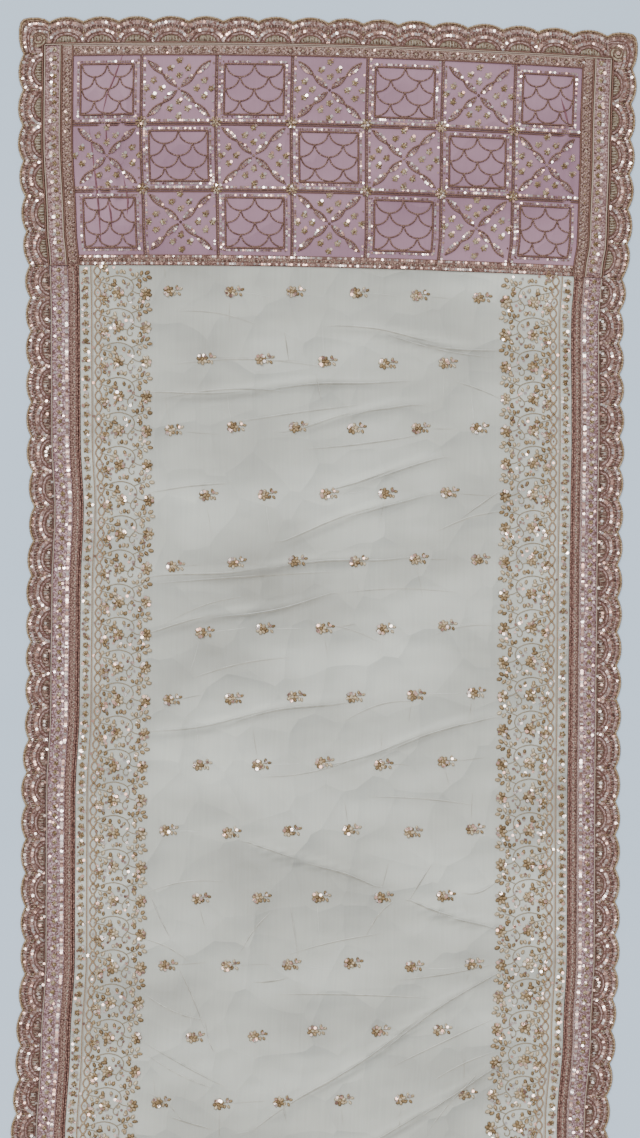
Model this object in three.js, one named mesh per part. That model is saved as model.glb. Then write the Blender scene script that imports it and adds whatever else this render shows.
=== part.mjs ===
// A net saree laid out flat, face up: an ecru net body, a mauve net pallu (the decorated end),
// scalloped corded lace round both long edges and the pallu end, mauve dot bands inside the lace,
// and braids sewn over the seams. Millimetres, +Z up. The pallu end points along +Y and the plain
// inner end along -Y. The origin is at the middle of the floor under the cloth.
import * as THREE from "three";

// Driving sizes of the cloth, in millimetres.
const LENGTH = 5500; // from the pallu's scallop tips to the plain end
const HALF_WIDTH = 566; // from the middle to the scallop tips, as woven and sewn
const WALL = 1.2; // thickness of the net walls
const SEAM_GAP = 0.3; // clearance between sewn pieces

// Distances in from the scallop tips to the seams of the border.
const LACE_WIDTH = 47; // scallop tips to the lace's straight header, along the sides
const END_LACE_WIDTH = 51; // and along the pallu end
const BAND_END = 90; // the seam of the band with the net, which the braid hides
const BRAID_START = 81;
const BRAID_WIDTH = 17;
const BRAID_WALL = 1.8;

// The scalloped lace.
const NOTCH_DEPTH = 9; // from the tips to the notches between scallops
const BODY_SCALLOPS = 79; // along each long edge of the body
const PALLU_SIDE_SCALLOPS = 6;
const PALLU_END_SCALLOPS = 16;
const LACE_EDGE_HEIGHT = 1.4;
const RIM_HEIGHT = 2.8; // the corded rim of a scallop
const RIM_INSET = 8;
const MOON_HEIGHT = 2.5; // the packed half moon at the foot of a scallop
const MOON_HALF_WIDTH = 0.75; // as a share of half a scallop
const MOON_REACH = 17; // how far the half moon stands out from the header
const OUTLINE_STEPS = 4; // straight pieces of outline per scallop
const MOON_STEPS = 4;

// The pallu.
const PALLU_LENGTH = 474; // scallop tips to the seam with the body's border
const CORNER_ACROSS = 58; // size of a corner fan along the pallu end
const CORNER_ALONG = 69; // and along the side
const PALLU_SEAM = 464; // where the mauve net ends and the ecru net starts, under the foot band
const FOOT_BAND_START = 454;
const FOOT_BAND_END = 473.7;
const PALLU_BRAID_START = 83;
const PALLU_BRAID_WIDTH = 20;
const END_BRAID_START = 56;
const END_BRAID_WIDTH = 17;
const BOSS_HEIGHT = 3; // the coiled boss in a corner fan

const HEM_WIDTH = 14; // the turned hem at the plain end
const HEM_WALL = 2.2;


// The columns of the ecru net, as shares of half its width.
const NET_COLUMNS = [-1, -0.76, -0.57, -0.38, -0.19, 0, 0.19, 0.38, 0.57, 0.76, 1];

// How the cloth lies: at each distance along it, how far its middle has drifted to the right, its
// half width, how far its right edge has slipped back, and how far both edges lag behind the
// middle.
const LAY = [
  { along: 0, drift: 16, half: 588, slant: 15, bow: 15 },
  { along: 230, drift: 12, half: 586, slant: 13, bow: 14 },
  { along: 400, drift: 13, half: 580, slant: 12, bow: 12 },
  { along: 474, drift: 11, half: 572, slant: 13, bow: 10 },
  { along: 560, drift: 9, half: 568, slant: 13, bow: 6 },
  { along: 800, drift: 10, half: 568, slant: 0, bow: 3 },
  { along: 920, drift: 12, half: 564, slant: -7, bow: 2 },
  { along: 1080, drift: 8, half: 566, slant: -11, bow: 2 },
  { along: 1300, drift: 6, half: 566, slant: -7, bow: 0 },
  { along: 1480, drift: 1, half: 569, slant: -4, bow: 0 },
  { along: 1780, drift: 0, half: 569, slant: -5, bow: 0 },
  { along: 1940, drift: -8, half: 570, slant: -14, bow: 0 },
  { along: 2120, drift: -19, half: 569, slant: -18, bow: 0 },
  { along: 2600, drift: -38, half: 566, slant: -9, bow: 0 },
  { along: 3400, drift: -44, half: 563, slant: 2, bow: 0 },
  { along: 4200, drift: -30, half: 566, slant: 6, bow: 0 },
  { along: 4900, drift: -14, half: 564, slant: 3, bow: 0 },
  { along: 5500, drift: -4, half: 566, slant: 0, bow: 0 },
];

// The largest folds across the ecru net, in order along it. Each is a ridge whose middle lies at
// (across, along), half its length to each side, climbing along the cloth by slope for each
// millimetre across.
const NET_FOLDS = [
  { along: 606, across: 170, half: 150, slope: 0.12, height: 3.5, foot: 15 },
  { along: 703, across: -95, half: 230, slope: -0.083, height: 6, foot: 15 },
  { along: 757, across: 50, half: 130, slope: -0.22, height: 4.5, foot: 14 },
  { along: 868, across: 110, half: 115, slope: -0.28, height: 4, foot: 14 },
  { along: 946, across: 60, half: 140, slope: -0.33, height: 6.5, foot: 15 },
  { along: 1042, across: -95, half: 240, slope: -0.089, height: 4.5, foot: 14 },
  { along: 1128, across: -160, half: 170, slope: -0.2, height: 4, foot: 15 },
  { along: 1326, across: -142, half: 190, slope: -0.177, height: 5, foot: 14 },
  { along: 1376, across: 165, half: 160, slope: -0.31, height: 5, foot: 13 },
  { along: 1606, across: -16, half: 120, slope: 0.35, height: 8, foot: 15 },
  { along: 1706, across: 250, half: 80, slope: 0.33, height: 5, foot: 13 },
  { along: 1960, across: 120, half: 230, slope: -0.68, height: 9, foot: 17 },
  { along: 2090, across: 200, half: 180, slope: -0.6, height: 7, foot: 16 },
  { along: 2330, across: -120, half: 200, slope: 0.14, height: 6, foot: 16 },
  { along: 2468, across: 90, half: 230, slope: -0.12, height: 5, foot: 15 },
  { along: 2655, across: -60, half: 150, slope: -0.35, height: 7, foot: 16 },
  { along: 2860, across: 130, half: 190, slope: 0.26, height: 6, foot: 15 },
  { along: 3050, across: -140, half: 180, slope: 0.3, height: 7, foot: 16 },
  { along: 3215, across: 40, half: 240, slope: -0.1, height: 5, foot: 15 },
  { along: 3370, across: 190, half: 140, slope: -0.32, height: 6, foot: 15 },
  { along: 3590, across: -90, half: 210, slope: 0.2, height: 6.5, foot: 16 },
  { along: 3765, across: 110, half: 160, slope: 0.08, height: 5, foot: 15 },
  { along: 3960, across: -20, half: 220, slope: -0.42, height: 8, foot: 17 },
  { along: 4180, across: 150, half: 170, slope: -0.15, height: 5.5, foot: 15 },
  { along: 4360, across: -150, half: 190, slope: 0.24, height: 6, foot: 16 },
  { along: 4560, across: 60, half: 200, slope: 0.3, height: 7, foot: 16 },
  { along: 4765, across: -70, half: 230, slope: -0.18, height: 6, foot: 15 },
  { along: 4950, across: 170, half: 150, slope: 0.16, height: 5, foot: 15 },
  { along: 5150, across: -40, half: 210, slope: -0.26, height: 6.5, foot: 16 },
  { along: 5330, across: 80, half: 190, slope: 0.1, height: 5, foot: 15 },
];

// The folds down the mauve net, in order across it. Each runs the pallu's length, leaning by lean
// from its start.
const PALLU_FOLDS = [
  { across: -392, lean: -42, height: 3.5, foot: 9 },
  { across: -350, lean: -60, height: 4.5, foot: 10 },
  { across: 428, lean: 22, height: 4, foot: 10 },
];

const COLOURS = {
  net: { color: 0xd9d6ca, roughness: 0.85, metalness: 0 },
  mauve: { color: 0xb697a0, roughness: 0.8, metalness: 0 },
  lace: { color: 0xa98576, roughness: 0.6, metalness: 0.25 },
  braid: { color: 0x935f56, roughness: 0.55, metalness: 0.3 },
};

// The rows of the mauve net: the share of the way down it and of the folds' full height there.
const PALLU_ROWS = [
  { down: 0.06, swell: 0 },
  { down: 0.22, swell: 0.8 },
  { down: 0.5, swell: 1 },
  { down: 0.78, swell: 0.8 },
  { down: 0.94, swell: 0 },
  { down: 1, swell: 0 },
];

const clamp = THREE.MathUtils.clamp;
const lerp = THREE.MathUtils.lerp;
const range = (count, make) => Array.from({ length: count }, (_, i) => make(i));
const ease = (share) => share * share * (3 - 2 * share);
const evenStations = (from, to, count) => range(count + 1, (i) => lerp(from, to, i / count));

// Sizes that follow from the ones above.
const INNER_EDGE = LACE_WIDTH + SEAM_GAP; // where the side bands start, in from the tips
const PALLU_START = END_LACE_WIDTH + SEAM_GAP; // where the mauve net starts
const NET_HALF = HALF_WIDTH - BAND_END - SEAM_GAP;
const NET_END = LENGTH - HEM_WIDTH - SEAM_GAP;
const BODY_START = PALLU_LENGTH + SEAM_GAP;
const FAN_END = CORNER_ALONG + SEAM_GAP;
const END_LACE_HALF = HALF_WIDTH - CORNER_ACROSS - SEAM_GAP;
const END_LACE_STATIONS = evenStations(-END_LACE_HALF, END_LACE_HALF, PALLU_END_SCALLOPS);

// The lay at one distance along the cloth, eased between the rows of the table.
function layAt(along) {
  const next = LAY.findIndex((row) => row.along >= along);
  const to = next < 0 ? LAY.length - 1 : Math.max(next, 1);
  const [a, b] = [LAY[to - 1], LAY[to]];
  const share = ease(clamp((along - a.along) / (b.along - a.along), 0, 1));
  const mix = (column) => lerp(a[column], b[column], share);
  return { drift: mix("drift"), half: mix("half"), slant: mix("slant"), bow: mix("bow") };
}

// Where a point of the cloth lies on the floor. The border keeps its width, and the net between the
// borders takes up the difference, as it does when the cloth is pulled straight.
function lay(across, along, height) {
  const { drift, half, slant, bow } = layAt(along);
  const netHalf = HALF_WIDTH - BAND_END;
  const laidNetHalf = half - BAND_END;
  const size = Math.abs(across);
  const out = size > netHalf ? laidNetHalf + (size - netHalf) : (size * laidNetHalf) / netHalf;
  const share = across / HALF_WIDTH;
  return new THREE.Vector3(
    drift + Math.sign(across) * out,
    LENGTH / 2 - along - slant * share - bow * share * share,
    height,
  );
}

// A closed wall between a stack of top rows and a stack of bottom rows. Neighbouring rows may have
// different numbers of points, but the first rows match each other, and so do the last ones.
function wall(top, bottom) {
  const corners = [];
  const quad = (a, b, c, d) => corners.push(a, b, c, a, c, d);
  const zip = (near, far, turn) => {
    const [n, m] = [near.length - 1, far.length - 1];
    let [i, j] = [0, 0];
    while (i < n || j < m) {
      const nearFirst = j === m || (i < n && (i + 1) * m <= (j + 1) * n);
      const triangle = nearFirst ? [near[i], near[i + 1], far[j]] : [near[i], far[j + 1], far[j]];
      corners.push(...(turn ? triangle.reverse() : triangle));
      if (nearFirst) i += 1;
      else j += 1;
    }
  };
  top.slice(1).forEach((row, k) => zip(top[k], row, false));
  bottom.slice(1).forEach((row, k) => zip(bottom[k], row, true));
  const edge = (upper, lower, turn) =>
    upper.slice(1).forEach((_, i) => {
      const ring = [upper[i], lower[i], lower[i + 1], upper[i + 1]];
      quad(...(turn ? ring.reverse() : ring));
    });
  edge(top[0], bottom[0], false);
  edge(top.at(-1), bottom.at(-1), true);
  const end = (pick, turn) => {
    const [upper, lower] = [top.map(pick), bottom.map(pick)];
    if (upper.length === lower.length) edge(upper, lower, !turn);
    else {
      const ring = [...lower.toReversed(), ...upper];
      for (let i = 1; i < ring.length - 1; i += 1) {
        const triangle = [ring[0], ring[i], ring[i + 1]];
        corners.push(...(turn ? triangle.reverse() : triangle));
      }
    }
  };
  end((row) => row[0], false);
  end((row) => row.at(-1), true);
  return facingOut(corners);
}

// The geometry of a list of corners, three for each triangle, turned round if its faces point
// inwards.
function facingOut(corners) {
  let volume = 0;
  for (let i = 0; i < corners.length; i += 3)
    volume += corners[i].dot(new THREE.Vector3().crossVectors(corners[i + 1], corners[i + 2]));
  return new THREE.BufferGeometry().setFromPoints(volume < 0 ? corners.toReversed() : corners);
}

// A flat strip of even thickness between two edges, each a list of [across, along] points.
function strip(near, far, floor, thickness) {
  const row = (edge, height) => edge.map(([across, along]) => lay(across, along, height));
  return wall(
    [row(near, floor + thickness), row(far, floor + thickness)],
    [row(near, floor), row(far, floor)],
  );
}

// How far the outline of a scallop lies in from the tips, at a share from -1 to 1 across the
// scallop.
function scallopInset(share, pitch) {
  const reach = (share * pitch) / 2;
  const radius = ((pitch * pitch) / 4 + NOTCH_DEPTH * NOTCH_DEPTH) / (2 * NOTCH_DEPTH);
  return radius - Math.sqrt(radius * radius - reach * reach);
}

// A run of scalloped lace of one width. at(run, inset) gives a point of the cloth from a distance
// along the lace and one in from the tips. The top has a corded rim round each scallop and a packed
// half moon at its foot.
function scallopLace(at, from, to, count, width) {
  const pitch = (to - from) / count;
  const row = (steps, height, inset) =>
    range(count * steps + 1, (i) => {
      const share = (2 * (i % steps)) / steps - 1;
      return lay(...at(from + (i * pitch) / steps, inset(share)), height);
    });
  const outline = (share) => scallopInset(share, pitch);
  const rim = (share) => scallopInset(share, pitch) + RIM_INSET;
  const moon = (share) => {
    const inside = clamp(Math.abs(share) / (2 * MOON_HALF_WIDTH), 0, 1);
    return width - lerp(MOON_REACH, MOON_REACH / 4, inside * inside * 2);
  };
  const header = () => width;
  return wall(
    [
      row(OUTLINE_STEPS, LACE_EDGE_HEIGHT, outline),
      row(OUTLINE_STEPS, RIM_HEIGHT, rim),
      row(MOON_STEPS, MOON_HEIGHT, moon),
      row(1, LACE_EDGE_HEIGHT, header),
    ],
    [row(OUTLINE_STEPS, 0, outline), row(1, 0, header)],
  );
}

// The corner fan: one rounded lobe that turns the lace through a right angle, with a coiled boss.
function cornerFan(side) {
  // Its outline, as distances in from the side tips and in from the end tips.
  const outline = [
    { across: CORNER_ACROSS, along: NOTCH_DEPTH },
    { across: 49, along: 3 },
    { across: 36, along: 0 },
    { across: 20, along: 0 },
    { across: 9, along: 2 },
    { across: 3, along: 8 },
    { across: 0, along: 20 },
    { across: 0, along: 40 },
    { across: 3, along: 56 },
    { across: NOTCH_DEPTH, along: CORNER_ALONG },
  ];
  const last = outline.length - 1;
  const knee = 3; // the point of the outline that faces the header's inner corner
  const header = outline.map((_, i) => ({
    across: lerp(CORNER_ACROSS, LACE_WIDTH, clamp(i / knee, 0, 1)),
    along: lerp(END_LACE_WIDTH, CORNER_ALONG, clamp((i - knee) / (last - knee), 0, 1)),
  }));
  const row = (share, height) =>
    outline.map((point, i) =>
      lay(
        side * (HALF_WIDTH - lerp(point.across, header[i].across, share)),
        lerp(point.along, header[i].along, share),
        i === 0 || i === last ? Math.min(height, RIM_HEIGHT) : height,
      ),
    );
  const [rimShare, dipShare, bossShare] = [0.16, 0.42, 0.66];
  return wall(
    [
      row(0, LACE_EDGE_HEIGHT),
      row(rimShare, RIM_HEIGHT),
      row(dipShare, LACE_EDGE_HEIGHT),
      row(bossShare, BOSS_HEIGHT),
      row(1, LACE_EDGE_HEIGHT),
    ],
    [row(0, 0), row(1, 0)],
  );
}

// The rows of the ecru net that follow its folds, each as functions of the distance across: one row
// at either foot of a fold and one along its ridge.
const foldRows = NET_FOLDS.flatMap((fold) => {
  const crest = (across) => fold.along + fold.slope * clamp(across - fold.across, -fold.half, fold.half);
  const nearness = (across) => clamp(1.25 - Math.abs(across - fold.across) / fold.half, 0, 1);
  const ridge = (across) => fold.height * ease(nearness(across));
  return [
    { along: (across) => crest(across) - fold.foot, rise: () => 0 },
    { along: crest, rise: ridge },
    { along: (across) => crest(across) + fold.foot, rise: () => 0 },
  ];
});

// The ecru net, from its seam with the pallu to the hem.
function netBody() {
  const flatRow = (along) => ({ along: () => along, rise: () => 0 });
  const columns = NET_COLUMNS.map((share) => share * NET_HALF);
  const rows = [flatRow(BODY_START), ...foldRows, flatRow(NET_END)];
  const points = ({ along, rise }, floor) =>
    columns.map((across) => lay(across, along(across), floor + rise(across)));
  const seam = (floor) => palluColumns(1).map(({ across }) => lay(across, PALLU_SEAM + SEAM_GAP, floor));
  return wall(
    [seam(WALL), ...rows.map((row) => points(row, WALL))],
    [seam(0), ...rows.map((row) => points(row, 0))],
  );
}

// The columns of the mauve net at one share of the way down it: evenly spread, with three for each
// fold.
function palluColumns(down) {
  const even = range(5, (i) => ({ across: (i - 2) * 150, height: 0 }));
  const folds = PALLU_FOLDS.flatMap(({ across, lean, height, foot }) => [
    { across: across - foot + lean * down, height: 0 },
    { across: across + lean * down, height },
    { across: across + foot + lean * down, height: 0 },
  ]);
  const edges = [-NET_HALF, NET_HALF].map((across) => ({ across, height: 0 }));
  return [...even, ...folds, ...edges].sort((a, b) => a.across - b.across);
}

// The mauve net of the pallu, with its folds running down it. Its first row meets the end lace's
// header.
function palluPanel() {
  const inside = END_LACE_STATIONS.filter((across) => Math.abs(across) < NET_HALF);
  const header = [-NET_HALF, ...inside, NET_HALF];
  const rows = (floor) => [
    header.map((across) => lay(across, PALLU_START, floor)),
    ...PALLU_ROWS.map(({ down, swell }) =>
      palluColumns(down).map(({ across, height }) =>
        lay(across, lerp(PALLU_START, PALLU_SEAM, down), floor + height * swell),
      ),
    ),
  ];
  return wall(rows(WALL), rows(0));
}

// A strip beside one long edge, between two distances in from the tips. Each of its edges has the
// stations of the piece it is sewn to.
const sideStrip = (side, inset, width, nearStations, farStations, floor, thickness) => {
  const edge = (distance, stations) => stations.map((along) => [side * (HALF_WIDTH - distance), along]);
  return strip(edge(inset, nearStations), edge(inset + width, farStations), floor, thickness);
};

// A strip across the cloth, between two distances along it.
const crossStrip = (half, from, to, floor, thickness) => {
  const steps = 14;
  const edge = (along) => range(steps + 1, (i) => [lerp(-half, half, i / steps), along]);
  return strip(edge(from), edge(to), floor, thickness);
};

const saree = new THREE.Group();
const add = (name, geometry, finish) => {
  const mesh = new THREE.Mesh(geometry, new THREE.MeshStandardMaterial(COLOURS[finish]));
  mesh.name = name;
  saree.add(mesh);
};

add("net_body", netBody(), "net");
add("pallu_panel", palluPanel(), "mauve");

const sides = [
  { name: "left", side: -1 },
  { name: "right", side: 1 },
];
const onTop = WALL + SEAM_GAP; // the underside of what is sewn onto the net
const bandWidth = BAND_END - LACE_WIDTH - SEAM_GAP;
const endBraidStop = END_BRAID_START + END_BRAID_WIDTH;
sides.forEach(({ name, side }) => {
  const laceAt = (run, inset) => [side * (HALF_WIDTH - inset), run];
  add(`lace_${name}`, scallopLace(laceAt, BODY_START, LENGTH, BODY_SCALLOPS, LACE_WIDTH), "lace");
  const palluLace = scallopLace(laceAt, FAN_END, PALLU_LENGTH, PALLU_SIDE_SCALLOPS, LACE_WIDTH);
  add(`pallu_lace_${name}`, palluLace, "lace");
  add(`corner_fan_${name}`, cornerFan(side), "lace");

  const bodyHeader = evenStations(BODY_START, LENGTH, BODY_SCALLOPS);
  const netEdge = [BODY_START, ...foldRows.map((row) => row.along(side * NET_HALF)), NET_END, LENGTH];
  const band = (near, far) => sideStrip(side, INNER_EDGE, bandWidth, near, far, 0, WALL);
  add(`dot_band_${name}`, band(bodyHeader, netEdge), "mauve");

  const palluHeader = [PALLU_START, ...evenStations(FAN_END, PALLU_LENGTH, PALLU_SIDE_SCALLOPS)];
  const palluRows = PALLU_ROWS.map(({ down }) => lerp(PALLU_START, PALLU_SEAM, down));
  add(`pallu_dot_band_${name}`, band(palluHeader, [PALLU_START, ...palluRows, PALLU_LENGTH]), "mauve");

  const braid = (stations, start, width) =>
    sideStrip(side, start, width, stations, stations, onTop, BRAID_WALL);
  const braidStations = bodyHeader.filter((_, i) => i % 2 === 0);
  const toEnd = [...braidStations, LENGTH - HEM_WIDTH, LENGTH];
  add(`braid_${name}`, braid(toEnd, BRAID_START, BRAID_WIDTH), "braid");
  const palluBraidStations = [...evenStations(endBraidStop + SEAM_GAP, FOOT_BAND_START, 5), PALLU_LENGTH];
  add(`pallu_braid_${name}`, braid(palluBraidStations, PALLU_BRAID_START, PALLU_BRAID_WIDTH), "braid");
});

const endLaceAt = (run, inset) => [run, inset];
const endLace = scallopLace(endLaceAt, -END_LACE_HALF, END_LACE_HALF, PALLU_END_SCALLOPS, END_LACE_WIDTH);
add("lace_end", endLace, "lace");

const endBraidHalf = HALF_WIDTH - PALLU_BRAID_START;
const endBraid = crossStrip(endBraidHalf, END_BRAID_START, endBraidStop, onTop, BRAID_WALL);
add("pallu_braid_end", endBraid, "braid");
const footHalf = endBraidHalf - PALLU_BRAID_WIDTH - SEAM_GAP;
const footBand = crossStrip(footHalf, FOOT_BAND_START, FOOT_BAND_END, onTop, BRAID_WALL);
add("pallu_foot_band", footBand, "braid");
const hemHalf = HALF_WIDTH - BRAID_START - BRAID_WIDTH - SEAM_GAP;
add("end_hem", crossStrip(hemHalf, LENGTH - HEM_WIDTH, LENGTH, 0, HEM_WALL), "net");

// The middle of the laid cloth, on the floor, becomes the origin.
const middle = new THREE.Box3().setFromObject(saree).getCenter(new THREE.Vector3());
saree.children.forEach((mesh) => mesh.geometry.translate(-middle.x, -middle.y, 0));

export default saree;
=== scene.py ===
# %% [markdown]
# # A net saree laid out flat
# A saree is one long cloth. This one is ecru net with a mauve net pallu (the decorated end), scalloped
# lace round three sides and metallic embroidery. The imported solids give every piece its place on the
# floor. Here each gets a finer cloth over the same outline, then its cords, beads and sequins.

# %% Load the frame
import math

import bmesh
import bpy
import numpy as np
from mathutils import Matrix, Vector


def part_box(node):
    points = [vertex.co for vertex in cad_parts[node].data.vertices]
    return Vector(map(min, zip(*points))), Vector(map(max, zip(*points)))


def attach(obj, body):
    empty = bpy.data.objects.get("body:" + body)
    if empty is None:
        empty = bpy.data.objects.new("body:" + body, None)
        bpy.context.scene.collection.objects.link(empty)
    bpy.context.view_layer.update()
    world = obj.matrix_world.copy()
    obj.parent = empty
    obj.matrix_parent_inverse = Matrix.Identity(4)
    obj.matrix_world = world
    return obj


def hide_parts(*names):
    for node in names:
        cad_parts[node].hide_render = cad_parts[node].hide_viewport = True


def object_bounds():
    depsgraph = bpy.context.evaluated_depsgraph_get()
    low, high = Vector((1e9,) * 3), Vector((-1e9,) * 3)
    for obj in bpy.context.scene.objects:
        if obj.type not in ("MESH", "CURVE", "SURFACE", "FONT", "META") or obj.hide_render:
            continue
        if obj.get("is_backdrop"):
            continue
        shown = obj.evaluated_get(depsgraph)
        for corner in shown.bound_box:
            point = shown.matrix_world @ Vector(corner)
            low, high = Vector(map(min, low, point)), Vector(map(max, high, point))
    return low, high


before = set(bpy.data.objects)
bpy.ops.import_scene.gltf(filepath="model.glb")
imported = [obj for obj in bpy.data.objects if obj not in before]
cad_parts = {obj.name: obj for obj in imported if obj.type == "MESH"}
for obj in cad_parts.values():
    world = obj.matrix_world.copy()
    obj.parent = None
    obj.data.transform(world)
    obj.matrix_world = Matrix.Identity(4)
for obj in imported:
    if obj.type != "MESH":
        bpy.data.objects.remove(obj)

cad_low, cad_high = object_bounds()
dice = np.random.default_rng(7)
print("CAD box", [round(v, 4) for v in (cad_high - cad_low)])

# %% [markdown]
# ## Camera
# The cloth is seen from straight above, and only its pallu end and about two metres of its length are in
# view. A perspective camera three metres up keeps the spacing even. The sensor's width belongs to the
# longer side of the picture, which is its height here, so the lens follows from the height it has to see.

# %% Make the camera
VIEW_LENGTH = 2.162  # metres of floor from the bottom of the view to its top
VIEW_MARGIN = 0.0342  # metres of floor shown past the pallu end
CAMERA_HEIGHT = 3.0
camera_data = bpy.data.cameras.new("camera")
camera_data.lens = camera_data.sensor_width * CAMERA_HEIGHT / VIEW_LENGTH
camera = bpy.data.objects.new("camera", camera_data)
bpy.context.scene.collection.objects.link(camera)
bpy.context.scene.camera = camera
print("lens", round(camera_data.lens, 1), "mm")

# %% [markdown]
# ## How the cloth lies
# Everything is placed in the cloth's own coordinates, in millimetres: across from its middle line, and
# along from the scallop tips of the pallu end. One table says how the laid cloth drifts, widens and
# skews, and `lay` turns cloth coordinates into a place on the floor. Embroidery that is drawn straight
# in the cloth then bends with it, as the real one does.

# %% Sizes of the cloth, in millimetres
LENGTH = 5500.0
HALF = 566.0  # from the middle line to the scallop tips
LACE, END_LACE = 47.0, 51.0  # depth of the lace along the sides and along the pallu end
BAND_START, BAND_END = 47.3, 90.0  # the dot bands, in from the scallop tips
NET_START = 51.3  # where the mauve net and its bands start
PALLU, BODY_START, PALLU_SEAM = 474.0, 474.3, 464.0
SEAM_BAND = (454.0, 473.7)
SEAM_BAND_HALF = 462.7
HEM = 14.0
NET_HALF = HALF - BAND_END - 0.3
BODY_SCALLOPS, PALLU_SCALLOPS, END_SCALLOPS = 79, 6, 16
FAN_END = 69.3
PITCH = (LENGTH - BODY_START) / BODY_SCALLOPS
PALLU_PITCH = (PALLU - FAN_END) / PALLU_SCALLOPS
END_HALF = HALF - 58.3
END_PITCH = 2 * END_HALF / END_SCALLOPS
CLOTH = 0.7  # thickness of the net
ON_NET = CLOTH + 0.05

LAY = np.array([  # along, drift, half width, slant, bow
    (0, 16, 588, 15, 15), (230, 12, 586, 13, 14), (400, 13, 580, 12, 12), (474, 11, 572, 13, 10),
    (560, 9, 568, 13, 6), (800, 10, 568, 0, 3), (920, 12, 564, -7, 2), (1080, 8, 566, -11, 2),
    (1300, 6, 566, -7, 0), (1480, 1, 569, -4, 0), (1780, 0, 569, -5, 0), (1940, -8, 570, -14, 0),
    (2120, -19, 569, -18, 0), (2600, -38, 566, -9, 0), (3400, -44, 563, 2, 0), (4200, -30, 566, 6, 0),
    (4900, -14, 564, 3, 0), (5500, -4, 566, 0, 0)], float)


# %% Turn cloth coordinates into a place on the floor
def ease(share):
    share = np.clip(share, 0, 1)
    return share * share * (3 - 2 * share)


def arrays(across, along):
    return np.broadcast_arrays(np.asarray(across, float), np.asarray(along, float))


def floor_place(across, along):
    """Floor x and y in millimetres, before the middle of the laid cloth becomes the origin."""
    across, along = arrays(across, along)
    i = np.clip(np.searchsorted(LAY[:, 0], along, side="right") - 1, 0, len(LAY) - 2)
    share = ease((along - LAY[i, 0]) / (LAY[i + 1, 0] - LAY[i, 0]))[..., None]
    drift, half, slant, bow = np.moveaxis(LAY[i, 1:] + (LAY[i + 1, 1:] - LAY[i, 1:]) * share, -1, 0)
    size, net = np.abs(across), HALF - BAND_END
    laid = half - BAND_END
    out = np.where(size > net, laid + size - net, size * laid / net)
    part = across / HALF
    return drift + np.sign(across) * out, LENGTH / 2 - along - slant * part - bow * part * part


band_across = np.linspace(-SEAM_BAND_HALF, SEAM_BAND_HALF, 15)
band_x, band_y = floor_place(band_across[None, :], np.array(SEAM_BAND)[:, None])
band_low, band_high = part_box("pallu_foot_band")
MIDDLE = np.array([band_low.x * 1000 - band_x.min(), band_high.y * 1000 - band_y.max()])


def lay(across, along, height=0.0):
    """Places in metres for cloth coordinates and a height in millimetres."""
    x, y = floor_place(across, along)
    return np.stack([x + MIDDLE[0], y + MIDDLE[1], np.broadcast_to(height, x.shape)], -1) / 1000


view_middle = float(lay(0.0, 0.0)[1]) + VIEW_MARGIN - VIEW_LENGTH / 2
camera.location = (float(MIDDLE[0]) / 1000, view_middle, CAMERA_HEIGHT)
print("middle of the cloth", MIDDLE.round(2), "camera", [round(v, 3) for v in camera.location])

# %% [markdown]
# ## Folds and creases
# Net springs, so even a cloth that was pulled straight keeps low ridges where it was folded. The large
# ones are in the solids, and the same table is used here, with soft rounded ridges in place of the
# solids' straight ones. Finer creases are added between them, each a short line with its own height and
# width. `rise` gives the height of the net anywhere, so that whatever is sewn on can follow it.

# %% Fold tables
NET_FOLDS = np.array([  # along, across, half length, slope, height, foot
    (606, 170, 150, 0.12, 3.5, 15), (703, -95, 230, -0.083, 6, 15), (757, 50, 130, -0.22, 4.5, 14),
    (868, 110, 115, -0.28, 4, 14), (946, 60, 140, -0.33, 6.5, 15), (1042, -95, 240, -0.089, 4.5, 14),
    (1128, -160, 170, -0.2, 4, 15), (1326, -142, 190, -0.177, 5, 14), (1376, 165, 160, -0.31, 5, 13),
    (1606, -16, 120, 0.35, 8, 15), (1706, 250, 80, 0.33, 5, 13), (1960, 120, 230, -0.68, 9, 17),
    (2090, 200, 180, -0.6, 7, 16), (2330, -120, 200, 0.14, 6, 16), (2468, 90, 230, -0.12, 5, 15),
    (2655, -60, 150, -0.35, 7, 16), (2860, 130, 190, 0.26, 6, 15), (3050, -140, 180, 0.3, 7, 16),
    (3215, 40, 240, -0.1, 5, 15), (3370, 190, 140, -0.32, 6, 15), (3590, -90, 210, 0.2, 6.5, 16),
    (3765, 110, 160, 0.08, 5, 15), (3960, -20, 220, -0.42, 8, 17), (4180, 150, 170, -0.15, 5.5, 15),
    (4360, -150, 190, 0.24, 6, 16), (4560, 60, 200, 0.3, 7, 16), (4765, -70, 230, -0.18, 6, 15),
    (4950, 170, 150, 0.16, 5, 15), (5150, -40, 210, -0.26, 6.5, 16), (5330, 80, 190, 0.1, 5, 15)], float)
PALLU_FOLDS = np.array([  # across, lean, height, foot
    (-392, -42, 3.5, 9), (-350, -60, 4.5, 10), (428, 22, 4, 10)], float)
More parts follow.
